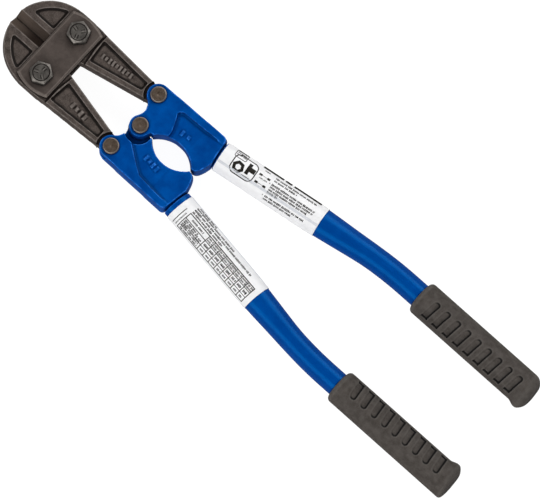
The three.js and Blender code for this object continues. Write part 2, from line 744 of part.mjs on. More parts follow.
place('handle_tube_left', handleTube(), bluePaint);
place('handle_tube_right', mirrored(handleTube()), bluePaint);
place('label_left', label(LABEL_START.left), whiteFilm);
place('label_right', mirrored(label(LABEL_START.right)), whiteFilm);
place('grip_left', grip(GRIP_END_RADIUS.left), darkRubber);
place('grip_right', mirrored(grip(GRIP_END_RADIUS.right)), darkRubber);

export default tool;
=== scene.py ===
import json
import random
from contextlib import contextmanager
from math import ceil, cos, pi, radians, sin, sqrt, tan

import bmesh
import bpy
import numpy as np
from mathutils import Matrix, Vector


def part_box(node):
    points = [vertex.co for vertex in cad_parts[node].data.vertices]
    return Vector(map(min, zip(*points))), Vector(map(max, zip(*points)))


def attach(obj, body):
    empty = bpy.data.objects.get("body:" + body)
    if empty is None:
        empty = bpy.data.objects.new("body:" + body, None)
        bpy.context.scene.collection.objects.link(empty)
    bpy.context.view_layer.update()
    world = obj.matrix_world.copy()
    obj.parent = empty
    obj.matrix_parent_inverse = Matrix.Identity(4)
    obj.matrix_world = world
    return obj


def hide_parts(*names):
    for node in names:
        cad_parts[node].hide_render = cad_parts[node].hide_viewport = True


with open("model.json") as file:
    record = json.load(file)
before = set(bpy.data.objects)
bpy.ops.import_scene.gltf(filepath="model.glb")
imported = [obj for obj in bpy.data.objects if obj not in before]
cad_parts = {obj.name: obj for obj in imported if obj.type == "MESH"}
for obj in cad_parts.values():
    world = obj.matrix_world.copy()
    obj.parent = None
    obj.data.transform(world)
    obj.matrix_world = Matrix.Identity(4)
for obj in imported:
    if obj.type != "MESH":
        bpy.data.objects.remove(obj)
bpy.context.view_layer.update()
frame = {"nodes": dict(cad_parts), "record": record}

# Bolt cutters lying flat. Shapes are worked out in millimetres about the line through the two
# jaw pivots and the tool's mid-plane, as in the CAD model, and turned into metres by place().

MM = 0.001
PIVOT = next(joint for joint in frame["record"]["behaviour"]["joints"]
             if joint["name"] == "left_jaw_swing")
PIVOT_X, _, MID_PLANE = (value / MM for value in PIVOT["pos_m"])
SIDES = {"left": 1, "right": -1}
SCENE = bpy.context.scene
PIECES = bpy.data.collections.new("pieces")
SCENE.collection.children.link(PIECES)


def place(points):
    """Millimetres about the pivot line and mid-plane, as metres in the frame."""
    return (np.asarray(points, dtype=float) + (PIVOT_X, 0.0, MID_PLANE)) * MM


def node_box(node):
    """A node's box in millimetres about the pivot line and mid-plane."""
    return [np.array(corner) / MM - (PIVOT_X, 0, MID_PLANE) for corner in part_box(node)]


def smoothstep(value, start, end):
    share = np.clip((value - start) / (end - start), 0.0, 1.0)
    return share * share * (3.0 - 2.0 * share)


def band(value, start, full, fading, end):
    """0 before start and after end, 1 from full to fading."""
    return smoothstep(value, start, full) * (1.0 - smoothstep(value, fading, end))


# ---- camera

AIM = Vector((-0.0185, 0.003, 0.019))
ELEVATION = radians(78.7)
AZIMUTH = radians(222.2)
DISTANCE = 12.0
FIELD_WIDTH = 0.378  # of the view at the tool
SENSOR_WIDTH = 36.0


def make_camera():
    camera = bpy.data.objects.new("camera", bpy.data.cameras.new("camera"))
    back = Vector((
        sin(AZIMUTH) * cos(ELEVATION),
        -cos(AZIMUTH) * cos(ELEVATION),
        sin(ELEVATION),
    ))
    camera.location = AIM + back * DISTANCE
    camera.rotation_euler = (-back).to_track_quat("-Z", "Y").to_euler()
    camera.data.sensor_width = SENSOR_WIDTH
    camera.data.lens = SENSOR_WIDTH * DISTANCE / FIELD_WIDTH
    camera.data.clip_start = 0.1
    camera.data.clip_end = 40.0
    SCENE.collection.objects.link(camera)
    SCENE.camera = camera


make_camera()

# ---- meshes


def add_piece(name, mesh):
    obj = bpy.data.objects.new(name, mesh)
    PIECES.objects.link(obj)
    return obj


def make_object(name, vertices, faces, smooth=True):
    """A mesh object from vertices in millimetres."""
    mesh = bpy.data.meshes.new(name)
    mesh.from_pydata(place(vertices).tolist(), [], faces)
    mesh.update()
    mesh.polygons.foreach_set("use_smooth", [smooth] * len(mesh.polygons))
    return add_piece(name, mesh)


def set_attribute(obj, name, values):
    attribute = obj.data.attributes.new(name, "FLOAT", "POINT")
    attribute.data.foreach_set("value", np.asarray(values, dtype=np.float32))


def directions(around):
    """Evenly spaced angles once round."""
    return np.arange(around) * 2.0 * pi / around


def ring_solid(name, rings, closed=False):
    """A solid through rings of points, capped at its two ends or closed on itself."""
    count, around = len(rings), len(rings[0])
    ring = np.arange(count if closed else count - 1)[:, None]
    here = np.arange(around)[None, :]
    beside = (here + 1) % around
    above = (ring + 1) % count
    corners = [(ring, here), (ring, beside), (above, beside), (above, here)]
    quads = np.stack([row * around + column for row, column in corners], axis=-1)
    faces = quads.reshape(-1, 4).tolist()
    if not closed:
        faces += [range(around), range((count - 1) * around, count * around)]
    obj = make_object(name, np.concatenate(rings), faces)
    outward(obj)
    return obj


@contextmanager
def editing(mesh):
    work = bmesh.new()
    work.from_mesh(mesh)
    yield work
    work.to_mesh(mesh)
    work.free()


def shade_by_angle(obj, degrees):
    """Smooth shading that keeps the edges sharper than the angle."""
    with editing(obj.data) as work:
        for edge in work.edges:
            angle = edge.calc_face_angle(0.0)
            edge.smooth = len(edge.link_faces) == 2 and angle < radians(degrees)
        for face in work.faces:
            face.smooth = True


def outward(obj):
    """Faces turned so that their normals point out of the solid."""
    with editing(obj.data) as work:
        bmesh.ops.recalc_face_normals(work, faces=work.faces)


# ---- materials


class Shader:
    """A node material, built up one node at a time."""

    def __init__(self, name):
        self.material = bpy.data.materials.new(name)
        self.material.use_nodes = True
        self.tree = self.material.node_tree
        self.tree.nodes.clear()
        self.coordinates = self.node("ShaderNodeTexCoord").outputs["Object"]

    def node(self, kind, **settings):
        made = self.tree.nodes.new(kind)
        for key, value in settings.items():
            setattr(made, key, value)
        return made

    def feed(self, socket, value):
        if isinstance(value, bpy.types.NodeSocket):
            self.tree.links.new(value, socket)
        elif isinstance(value, tuple) and len(value) == 3 and socket.type == "RGBA":
            socket.default_value = (*value, 1.0)
        else:
            socket.default_value = value

    def noise(self, size, detail, roughness=0.5, stretch=None):
        """Noise whose features are about size millimetres across."""
        coordinates = self.coordinates
        if stretch:
            mapping = self.node("ShaderNodeMapping")
            self.feed(mapping.inputs["Vector"], coordinates)
            mapping.inputs["Scale"].default_value = stretch
            coordinates = mapping.outputs["Vector"]
        made = self.node("ShaderNodeTexNoise")
        self.feed(made.inputs["Vector"], coordinates)
        made.inputs["Scale"].default_value = 1.0 / (size * MM)
        made.inputs["Detail"].default_value = detail
        made.inputs["Roughness"].default_value = roughness
        return made.outputs["Fac"]

    def cells(self, size):
        made = self.node("ShaderNodeTexVoronoi")
        self.feed(made.inputs["Vector"], self.coordinates)
        made.inputs["Scale"].default_value = 1.0 / (size * MM)
        return made.outputs["Distance"]

    def attribute(self, name):
        return self.node("ShaderNodeAttribute", attribute_name=name).outputs["Fac"]

    def ridge(self, low, high, at_low, at_high):
        """A share that follows the surface from hollow (-1) through flat (0) to edge (1)."""
        return self.remap(self.attribute("ridge"), low, high, at_low, at_high)

    def patches(self, size, detail=4.0, roughness=0.6, low=0.35, high=0.65):
        """Cloudy patches, from 0 to 1."""
        return self.remap(self.noise(size, detail, roughness), low, high, 0.0, 1.0)

    def shade_hollows(self, base, *layers):
        """Painted shade in the hollows, darkened by ambient occlusion, in layers of reach in mm,
        shut below, open above, depth, colour.
        """
        for reach, shut_below, open_above, depth, colour in layers:
            made = self.node("ShaderNodeAmbientOcclusion", samples=8)
            made.inputs["Distance"].default_value = reach * MM
            share = self.remap(made.outputs["AO"], shut_below, open_above, depth, 0.0)
            base = self.mix(share, base, colour)
        return base

    def remap(self, value, low, high, to_low, to_high):
        made = self.node("ShaderNodeMapRange")
        for socket, number in zip(made.inputs, (value, low, high, to_low, to_high)):
            self.feed(socket, number)
        return made.outputs["Result"]

    def product(self, first, second):
        made = self.node("ShaderNodeMath", operation="MULTIPLY")
        self.feed(made.inputs[0], first)
        self.feed(made.inputs[1], second)
        return made.outputs[0]

    def mix(self, share, first, second):
        made = self.node("ShaderNodeMix", data_type="RGBA")
        self.feed(made.inputs[0], share)
        self.feed(made.inputs[6], first)
        self.feed(made.inputs[7], second)
        return made.outputs[2]

    def bump(self, height, depth, strength, normal=None):
        """A bump of the height input times depth millimetres."""
        made = self.node("ShaderNodeBump")
        self.feed(made.inputs["Height"], height)
        made.inputs["Distance"].default_value = depth * MM
        made.inputs["Strength"].default_value = strength
        if normal:
            self.feed(made.inputs["Normal"], normal)
        return made.outputs["Normal"]

    def finish(self, colour, roughness, **sockets):
        surface = self.node("ShaderNodeBsdfPrincipled")
        sockets |= {"Base_Color": colour, "Roughness": roughness}
        for name, value in sockets.items():
            self.feed(surface.inputs[name.replace("_", " ")], value)
        output = self.node("ShaderNodeOutputMaterial")
        self.tree.links.new(surface.outputs["BSDF"], output.inputs["Surface"])
        return self.material


# Colours of the painted shade that ambient occlusion lays in hollows and crevices
HOLLOW_SHADE = (0.009, 0.006, 0.005)
DEEP_HOLLOW_SHADE = (0.003, 0.002, 0.002)


def forged_steel():
    """Phosphated forging: grey-brown, grainy, ground on the cutting bevel, lighter on its edges
    where rubbed and with a painted highlight, with painted shade in its hollows and on the cutting
    bevels.
    """
    s = Shader("forged_steel")
    patches = s.patches(6.0, 5.0, 0.65, 0.36, 0.66)
    grain = s.noise(0.7, 4.0, 0.7)
    base = s.mix(patches, (0.036, 0.028, 0.024), (0.09, 0.071, 0.062))
    base = s.mix(s.remap(grain, 0.42, 0.7, 0.0, 0.5), base, (0.17, 0.142, 0.125))
    speck = s.remap(s.cells(1.6), 0.0, 0.2, 0.6, 0.0)
    base = s.mix(speck, base, (0.022, 0.016, 0.013))
    # lighter on convex edges: rubbed steel and painted highlight
    broken = s.remap(s.noise(2.6, 3.0), 0.35, 0.6, 0.35, 1.0)
    rubbed_and_highlit = s.product(s.ridge(0.12, 0.6, 0.0, 0.75), broken)
    base = s.mix(rubbed_and_highlit, base, (0.25, 0.22, 0.2))
    # painted shade: darker in hollows
    base = s.mix(s.ridge(-0.55, -0.2, 0.96, 0.0), base, (0.006, 0.004, 0.003))
    lines = s.noise(0.35, 2.0, 0.5, stretch=(0.06, 1.0, 1.0))
    ground = s.mix(lines, (0.05, 0.036, 0.028), (0.12, 0.092, 0.074))
    base = s.mix(s.attribute("ground"), base, ground)
    # painted shade on the cutting bevels next to the head plate
    base = s.mix(s.product(s.attribute("bevel_shade"), 0.93), base, (0.012, 0.006, 0.004))
    # painted shade in hollows and crevices, from ambient occlusion
    base = s.shade_hollows(base, (3.8, 0.35, 0.94, 0.76, HOLLOW_SHADE), (1.1, 0.55, 0.86, 0.97, DEEP_HOLLOW_SHADE))
    normal = s.bump(grain, 0.06, 0.55)
    normal = s.bump(s.noise(3.2, 2.0), 0.25, 0.3, normal)
    roughness = s.remap(patches, 0.0, 1.0, 0.62, 0.48)
    return s.finish(base, roughness, Metallic=0.25, Specular_IOR_Level=0.15, Normal=normal)


def plate_steel():
    """Phosphated plate, smoother than the forgings, lighter on its edges where rubbed and with a
    painted highlight, and with painted shade in its hollows.
    """
    s = Shader("plate_steel")
    grain = s.noise(0.4, 4.0, 0.7)
    base = s.mix(s.patches(7.0), (0.062, 0.049, 0.043), (0.094, 0.075, 0.066))
    base = s.mix(s.remap(grain, 0.42, 0.75, 0.0, 0.3), base, (0.15, 0.128, 0.115))
    # lighter on convex edges: rubbed steel and painted highlight
    base = s.mix(s.ridge(0.1, 0.45, 0.0, 0.75), base, (0.2, 0.17, 0.15))
    # painted shade in hollows and crevices, from ambient occlusion
    base = s.shade_hollows(base, (2.6, 0.35, 0.92, 0.75, HOLLOW_SHADE), (1.0, 0.55, 0.86, 0.97, DEEP_HOLLOW_SHADE))
    return s.finish(base, s.remap(grain, 0.3, 0.7, 0.42, 0.56), Metallic=0.3,
                    Specular_IOR_Level=0.15, Normal=s.bump(grain, 0.04, 0.5))


def bolt_steel():
    """Oiled dark steel, lighter on its chamfers and marks where rubbed and with a painted
    highlight, and with painted shade in its hollows and round its heads.
    """
    s = Shader("bolt_steel")
    patches = s.patches(4.0)
    base = s.mix(patches, (0.065, 0.06, 0.054), (0.15, 0.138, 0.125))
    # lighter on convex edges: rubbed steel and painted highlight
    broken = s.remap(s.noise(2.2, 3.0), 0.38, 0.6, 0.25, 1.0)
    rubbed_and_highlit = s.product(s.ridge(0.1, 0.9, 0.0, 0.8), broken)
    base = s.mix(rubbed_and_highlit, base, (0.25, 0.23, 0.21))
    # painted shade: darker in hollows and in the sunken ring round the head's marks
    base = s.mix(s.ridge(-0.6, -0.1, 0.93, 0.0), base, (0.012, 0.009, 0.008))
    # painted shade in crevices and round the heads, from ambient occlusion
    base = s.shade_hollows(base, (1.4, 0.45, 0.85, 0.92, (0.008, 0.006, 0.005)))
    return s.finish(base, s.remap(patches, 0.0, 1.0, 0.42, 0.32), Metallic=0.5,
                    Specular_IOR_Level=0.2, Normal=s.bump(s.noise(0.3, 3.0, 0.6), 0.03, 0.5))


def pin_steel():
    """Browned steel with a painted highlight on its rim, and painted shade in its crevices."""
    s = Shader("pin_steel")
    base = s.mix(s.patches(3.0, 4.0, 0.65), (0.075, 0.05, 0.034), (0.14, 0.105, 0.08))
    # painted highlight on the rim and other convex edges
    base = s.mix(s.ridge(0.1, 1.0, 0.0, 0.75), base, (0.3, 0.265, 0.235))
    # painted shade in crevices and round the heads, from ambient occlusion
    base = s.shade_hollows(base, (1.6, 0.35, 0.8, 0.9, (0.014, 0.009, 0.006)))
    return s.finish(base, 0.4, Metallic=0.55,
                    Normal=s.bump(s.noise(0.3, 3.0, 0.6), 0.04, 0.6))


def enamel(name, ripple_size, ripple_depth, dark, light, roughness):
    """Royal blue enamel over a forging or a tube, with a painted highlight on the edges and painted
    shade in the hollows.
    """
    s = Shader(name)
    base = s.mix(s.patches(11.0), dark, light)
    # painted highlight on convex edges, broken up
    broken = s.remap(s.noise(5.0, 3.0), 0.4, 0.6, 0.2, 1.0)
    edge_highlight = s.product(s.ridge(0.15, 0.6, 0.0, 0.8), broken)
    base = s.mix(edge_highlight, base, (0.03, 0.2, 0.72))
    # painted shade: darker in hollows
    base = s.mix(s.ridge(-0.5, -0.05, 0.7, 0.0), base, (0.0, 0.016, 0.12))
    # painted shade in hollows and crevices, from ambient occlusion
    base = s.shade_hollows(base, (3.6, 0.35, 0.9, 0.7, (0.0, 0.01, 0.075)),
                   (1.4, 0.5, 0.85, 0.9, (0.0, 0.004, 0.035)))
    dust = s.remap(s.cells(4.0), 0.0, 0.07, 0.35, 0.0)
    base = s.mix(dust, base, (0.001, 0.02, 0.12))
    normal = s.bump(s.noise(ripple_size, 2.0, 0.45), ripple_depth, 0.6)
    normal = s.bump(s.noise(0.8, 2.0, 0.4), 0.012, 0.4, normal)
    return s.finish(base, roughness, Specular_IOR_Level=0.5,
                    Specular_Tint=(0.0, 0.38, 1.0), Normal=normal)


def film():
    """White printed film with a trace of dirt and of the ripple under it."""
    s = Shader("label_film")
    dirt = s.remap(s.noise(6.0, 5.0, 0.65), 0.5, 0.78, 0.0, 0.35)
    base = s.mix(dirt, (0.86, 0.86, 0.87), (0.7, 0.7, 0.7))
    ripple = s.noise(7.0, 2.0, 0.5)
    return s.finish(base, 0.32, Normal=s.bump(ripple, 0.05, 0.4))


def ink():
    """Black print, a little faded."""
    s = Shader("label_ink")
    fade = s.remap(s.noise(0.6, 3.0, 0.6), 0.35, 0.7, 0.0, 0.4)
    base = s.mix(fade, (0.008, 0.007, 0.006), (0.05, 0.043, 0.036))
    return s.finish(base, 0.4, Specular_IOR_Level=0.1, Normal=s.bump(fade, 0.01, 0.3))


def shade_band():
    """Pale grey painted shade, laid along each label as a band."""
    s = Shader("label_shade_band")
    fade = s.patches(0.8, 3.0, 0.6, 0.3, 0.7)
    base = s.mix(fade, (0.58, 0.6, 0.64), (0.72, 0.73, 0.76))
    return s.finish(base, 0.38, Normal=s.bump(fade, 0.01, 0.3))


def rubber():
    """Moulded rubber: dull grey-brown, mottled, with a fine skin and lighter raised edges, painted
    shade in its hollows and painted shadow along its pads.
    """
    s = Shader("grip_rubber")
    mottle = s.patches(5.0, 5.0, 0.65, 0.36, 0.64)
    grain = s.noise(0.5, 4.0, 0.7)
    base = s.mix(mottle, (0.046, 0.039, 0.034), (0.076, 0.066, 0.059))
    base = s.mix(s.remap(grain, 0.45, 0.75, 0.0, 0.4), base, (0.105, 0.094, 0.085))
    # painted shade: darker in hollows
    base = s.mix(s.ridge(-0.6, -0.08, 0.45, 0.0), base, (0.008, 0.007, 0.006))
    # painted shadow along the pads' rear walls and closed ends
    base = s.mix(s.attribute("pad_shadow"), base, (0.002, 0.002, 0.002))
    base = s.mix(s.ridge(0.1, 0.7, 0.0, 0.3), base, (0.13, 0.12, 0.11))
    normal = s.bump(grain, 0.05, 0.6)
    normal = s.bump(s.noise(2.4, 3.0), 0.1, 0.35, normal)
    return s.finish(base, s.remap(mottle, 0.0, 1.0, 0.72, 0.6),
                    Specular_IOR_Level=0.15, Normal=normal)


MATERIALS = {
    "jaw_steel": forged_steel(),
    "plate_steel": plate_steel(),
    "bolt_steel": bolt_steel(),
    "pin_steel": pin_steel(),
    "bracket_paint": enamel("bracket_enamel", ripple_size=4.5, ripple_depth=0.2,
                            dark=(0.0, 0.04, 0.225), light=(0.0, 0.066, 0.32), roughness=0.4),
    "tube_paint": enamel("tube_enamel", ripple_size=9.0, ripple_depth=0.06,
                         dark=(0.0, 0.046, 0.25), light=(0.0, 0.056, 0.285), roughness=0.26),
    "label_film": film(),
    "label_ink": ink(),
    "label_shade_band": shade_band(),
    "grip_rubber": rubber(),
}


def dress(obj, body, slot, material=None, replaces=()):
    """Material (looked up by slot unless one is given), body, and the CAD nodes that the piece
    stands for, which are hidden.
    """
    obj.data.materials.append(MATERIALS[material or slot])
    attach(obj, body)
    if replaces:
        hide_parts(*replaces)


# ---- forgings and plates

RIDGE_SPAN = 0.09  # millimetres off the neighbours' mean that count as a full edge
RIDGE_REACH = 3  # neighbours away
FORGING_MESH = {"voxel": 0.42, "smoothing": 3}  # of the remeshed CAD solid, in millimetres
PLATE_MESH = {"voxel": 0.33, "smoothing": 2}
WELD = 0.005  # millimetres


def links(mesh):
    """Pairs of neighbouring vertices, and how many neighbours each vertex has."""
    pairs = np.empty(len(mesh.edges) * 2, dtype=np.int64)
    mesh.edges.foreach_get("vertices", pairs)
    degree = np.maximum(np.bincount(pairs, minlength=len(mesh.vertices)), 1).astype(float)
    return pairs.reshape(-1, 2), degree


def neighbour_mean(values, pairs, degree):
    total = np.zeros_like(values)
    np.add.at(total, pairs[:, 0], values[pairs[:, 1]])
    np.add.at(total, pairs[:, 1], values[pairs[:, 0]])
    return total / (degree[:, None] if values.ndim == 2 else degree)


def points_and_normals(mesh):
    """Vertices in millimetres about the pivot line and mid-plane, and their normals."""
    points = np.empty(len(mesh.vertices) * 3)
    normals = np.empty(len(mesh.vertices) * 3)
    mesh.vertices.foreach_get("co", points)
    mesh.vertices.foreach_get("normal", normals)
    return points.reshape(-1, 3) / MM - (PIVOT_X, 0.0, MID_PLANE), normals.reshape(-1, 3)


def move_points(mesh, points):
    mesh.vertices.foreach_set("co", place(points).ravel())
    mesh.update()


def remeshed(node, name, voxel, smoothing):
    """A copy of a CAD node as an even mesh, with its edges slightly rounded."""
    cad = frame["nodes"][node]
    mesh = cad.data.copy()
    with editing(mesh) as work:
        bmesh.ops.remove_doubles(work, verts=work.verts, dist=WELD * MM)
    mesh.materials.clear()
    source = add_piece(name + "_source", mesh)
    source.matrix_world = cad.matrix_world
    remesh = source.modifiers.new("even", "REMESH")
    remesh.mode = "VOXEL"
    remesh.voxel_size = voxel * MM
    rounding = source.modifiers.new("rounding", "SMOOTH")
    rounding.factor = 0.5
    rounding.iterations = smoothing
    bpy.context.view_layer.update()
    depsgraph = bpy.context.evaluated_depsgraph_get()
    even = bpy.data.meshes.new_from_object(source.evaluated_get(depsgraph))
    bpy.data.objects.remove(source)
    for left_over in [a.name for a in even.attributes if not (a.is_required or a.is_internal)]:
        even.attributes.remove(even.attributes[left_over])
    even.polygons.foreach_set("use_smooth", [True] * len(even.polygons))
    return add_piece(name, even)


DRAFT = tan(radians(4.5))
WALL_STEEPNESS = 0.8  # level share of the normal beyond which a face is a wall
FLASH = {"height": 0.16, "half_width": 0.55}  # seam left by the two halves of the die
SPREAD_STEPS = 9


def drafted(obj, keep_sharp=None):
    """Draft on the walls of a forging, from the die's parting line at the mid-plane."""
    points, normals = points_and_normals(obj.data)
    pairs, degree = links(obj.data)
    kept = keep_sharp(points) if keep_sharp else np.zeros(len(points), dtype=bool)
    flat = normals * (1.0, 1.0, 0.0)
    steep = np.linalg.norm(flat, axis=1)
    wall = (steep > WALL_STEEPNESS) & ~kept
    height = points[:, 2]
    seam = FLASH["height"] * (np.exp(-(height / FLASH["half_width"]) ** 2) - 1.0)
    inward = -DRAFT * np.abs(height) + seam
    direction = flat / np.maximum(steep, 1e-6)[:, None]
    wanted = np.where(wall[:, None], direction * inward[:, None], 0.0)
    moved = wanted.copy()
    for _ in range(SPREAD_STEPS):
        moved = neighbour_mean(moved, pairs, degree)
        moved[wall] = wanted[wall]
    moved[kept] = 0.0
    move_points(obj.data, points + moved)


def mark_ridges(obj, blur=2):
    """Marks how convex (+) or hollow (-) the surface is, from -1 to 1."""
    points, normals = points_and_normals(obj.data)
    pairs, degree = links(obj.data)
    smooth = points
    for _ in range(RIDGE_REACH):
        smooth = neighbour_mean(smooth, pairs, degree)
    value = np.einsum("ij,ij->i", points - smooth, normals) / RIDGE_SPAN
    for _ in range(blur):
        value = neighbour_mean(value, pairs, degree)
    set_attribute(obj, "ridge", np.clip(value, -1.0, 1.0))


EDGE_GAP = 0.02  # from each cutting edge to the mid-line, in millimetres
EDGE_SHIFT = 0.42  # the most that an edge moves towards the other


def closed_edge(obj):
    """The two cutting edges brought together, as they meet when the jaws are shut."""
    points, _ = points_and_normals(obj.data)
    aside = np.abs(points[:, 1])
    near = 1.0 - smoothstep(aside, 0.6, 1.6)
    near *= smoothstep(points[:, 0], 1.0, 3.0) * (1.0 - smoothstep(np.abs(points[:, 2]), 1.5, 4.0))
    points[:, 1] -= np.sign(points[:, 1]) * np.minimum(aside - EDGE_GAP, EDGE_SHIFT) * near
    move_points(obj.data, points)


def parting_faces(points):
    """The faces of the jaws that meet, and the cutting bevels beside them."""
    return (points[:, 0] > 4.0) & (np.abs(points[:, 1]) < 6.4)


# Painted shade on the cutting bevels next to the head plate, stronger on the left jaw
BEVEL_SHADE = {"left": 1.0, "right": 0.5}  # of the cutting bevels next to the head plate


def make_jaw(side):
    obj = remeshed("jaw_" + side, "jaw_forging_" + side, **FORGING_MESH)
    drafted(obj, parting_faces)
    closed_edge(obj)
    mark_ridges(obj)
    points, normals = points_and_normals(obj.data)
    ground = parting_faces(points) & (np.abs(normals[:, 2]) < 0.93) & (points[:, 0] > 6.0)
    set_attribute(obj, "ground", ground.astype(float))
    # painted shade on the cutting bevels, fading out towards the nose
    behind_nose = 1.0 - smoothstep(points[:, 0], 21.0, 38.0)
    set_attribute(obj, "bevel_shade", ground * BEVEL_SHADE[side] * behind_nose)
    dress(obj, "jaw_lever_" + side, "jaw_steel", replaces=["jaw_" + side])


def make_bracket(side):
    obj = remeshed("bracket_" + side, "bracket_forging_" + side, **FORGING_MESH)
    drafted(obj)
    mark_ridges(obj)
    dress(obj, "handle_" + side, "blue_paint", "bracket_paint", replaces=["bracket_" + side])


def make_plate(where):
    obj = remeshed("head_plate_" + where, "head_plate_pressing_" + where, **PLATE_MESH)
    mark_ridges(obj)
    dress(obj, "head", "plate_steel", replaces=["head_plate_" + where])


for side in SIDES:
    make_jaw(side)
    make_bracket(side)
for where in ("top", "bottom"):
    make_plate(where)

# ---- bolts, nuts, pins and washers

AROUND = 144
AXIS = 0.02  # radius that stands for the axis, in millimetres
BOLT = {"flats": 15.0, "head": 6.4, "shank": 4.85, "pitch": 1.5, "nut_bore": 4.95}
PIN = {"flats": 12.5, "head": 2.4, "shank": 4.0, "pitch": 1.25, "nut_bore": 4.1}
PIN_WASHER = {"bore": 4.3, "radius": 7.2}
CHAMFER_SLOPE = tan(radians(30.0))
FACE_RINGS = 36
MARK_HEIGHT = 0.42  # of the grade marks on a bolt head
MARKS = 3
RIM_GROOVE = 0.2  # depth, round the marked face


def polar(centre, radii, heights):
    """Points of a ring round an upright axis."""
    angles = directions(AROUND)
    return np.stack([
        centre[0] + radii * np.cos(angles),
        centre[1] + radii * np.sin(angles),
        np.broadcast_to(heights, (AROUND,)),
    ], axis=1)


def turned(name, centre, profile, closed=False):
    """A turned solid from (radius, height, ridge) rows, from the bottom's axis to the top's."""
    rings = [polar(centre, max(radius, 0.01), height) for radius, height, _ in profile]
    obj = ring_solid(name, rings, closed)
    set_attribute(obj, "ridge", np.repeat([ridge for _, _, ridge in profile], AROUND))
    return obj


def hexagon_radius(flats, turn, corner_radius):
    """Distance to the outline of a hexagon with rounded corners, in every direction."""
    sixth = pi / 6
    local = (directions(AROUND) - radians(turn) + sixth) % (2 * sixth) - sixth
    sharp = flats / 2.0 / np.cos(sixth - np.abs(local))
    corner = flats / sqrt(3.0)
    limit = corner - corner_radius * (1.0 / cos(sixth) - 1.0)
    return np.minimum(sharp, limit + (sharp - limit) * 0.15)


def grade_marks(radii, share, turn):
    """Height, and rubbing and painted light, of the raised marks and of the sunken ring round them,
    on one ring of a head.
    """
    sector = 360.0 / MARKS
    along = band(radii, 1.7, 2.2, 4.9, 5.3)
    near = (np.degrees(directions(AROUND)) - turn + sector / 2) % sector - sector / 2
    across = np.abs(np.radians(near)) * radii
    raised = along * (1.0 - smoothstep(across, 0.4, 0.8))
    beside = along * band(across, 0.45, 0.8, 1.0, 1.5)
    rim = band(share, 0.8, 0.86, 0.93, 0.98)
    # marks lighter for rubbing and painted highlight; painted shade beside the marks and in the
    # sunken ring
    return MARK_HEIGHT * raised - RIM_GROOVE * rim, 0.55 * raised - 0.75 * beside - 0.8 * rim


def hexagon(name, centre, flats, low, high, turn, bore=0.0, dish=0.0):
    """A nut chamfered at both ends, or a bolt head (bore 0) with raised grade marks."""
    outline = hexagon_radius(flats, turn, 0.8)
    inner = flats / 2.0 * (0.93 if bore else 0.88)
    start = max(bore, AXIS)
    if not bore:
        high -= MARK_HEIGHT

    def end_face(level, sign):
        """Rings across an end face, from the middle to the rim."""
        made = []
        for share in np.linspace(0.0, 1.0, FACE_RINGS):
            radii = start + (inner - start) * share
            height = np.zeros(AROUND)
            # the face's outer edge lighter for rubbing and painted highlight
            rubbing_and_painted_light = np.full(AROUND, 0.9 if share > 0.98 else 0.0)
            if bore:
                height -= 0.7 * (1.0 - smoothstep(radii, bore, bore + 0.7))
            else:
                height -= dish * (1.0 - smoothstep(radii, 1.0, inner * 0.8))
                mark, mark_rubbing_and_painted_light = grade_marks(radii, share, turn)
                height += mark
                rubbing_and_painted_light += mark_rubbing_and_painted_light
            made.append((np.full(AROUND, radii), level + sign * height, rubbing_and_painted_light))
        for share in (0.06, 0.12, 0.35, 0.65, 0.9, 0.97):
            radii = inner + (outline - inner) * share
            fall = CHAMFER_SLOPE * (radii - inner) + 0.03
            # chamfer rings lighter for rubbing and painted highlight
            made.append((radii, level - sign * fall, 0.85 if share < 0.1 else 0.45))
        return made

    chamfer = CHAMFER_SLOPE * (outline - inner) + 0.06
    if bore:
        bottom, bottom_edge = end_face(low, -1.0), low + chamfer
    else:
        bottom, bottom_edge = [(start, low, 0.0), (outline * 0.97, low, 0.0)], low + 0.12
    # wall rings lighter at their two edges for rubbing and painted highlight
    walls = [(outline, bottom_edge + (high - chamfer - bottom_edge) * share, rubbing_and_painted_light)
             for share, rubbing_and_painted_light in ((0.0, 0.5), (0.08, 0.0), (0.5, 0.0), (0.92, 0.0), (1.0, 0.5))]
    profile = bottom + walls + end_face(high, 1.0)[::-1]
    rings = [polar(centre, radii, height) for radii, height, _ in profile]
    obj = ring_solid(name, rings, bool(bore))
    shade_by_angle(obj, 24.0)
    # corners of the hexagon lighter for rubbing and painted highlight
    corner = 0.8 * smoothstep(outline, outline.max() - 0.45, outline.max())
    rubbings_and_painted_light = np.stack([np.broadcast_to(rubbing_and_painted_light, (AROUND,)) for _, _, rubbing_and_painted_light in profile])
    set_attribute(obj, "ridge", np.where(rubbings_and_painted_light > 0.0, np.maximum(rubbings_and_painted_light, corner), rubbings_and_painted_light).ravel())
    return obj


def threaded(name, centre, radius, low, high, pitch):
    """A screw shank with a rolled thread and a chamfered end. It ends at low."""
    turns = np.arange(AROUND) / AROUND
    depth, chamfer, step = 0.55 * pitch, 0.7, 0.14
    rings = [polar(centre, AXIS, low), polar(centre, radius - depth - 0.25, low)]
    ridge = [np.zeros(AROUND), np.full(AROUND, 0.6)]
    for level in np.linspace(low + 0.05, high, int((high - low) / step)):
        phase = (level / pitch + turns) % 1.0
        crest = np.clip(1.35 - np.abs(phase - 0.5) * 2.8, 0.0, 1.0)
        limit = radius - chamfer * (1.0 - smoothstep(level, low, low + chamfer))
        rings.append(polar(centre, np.minimum(radius - depth * (1.0 - crest), limit), level))
        # crests marked lighter for rubbing and painted highlight, roots marked for painted shade
        ridge.append(np.where(crest > 0.85, 0.7, -0.3))
    obj = ring_solid(name, rings)
    set_attribute(obj, "ridge", np.concatenate(ridge))
    return obj


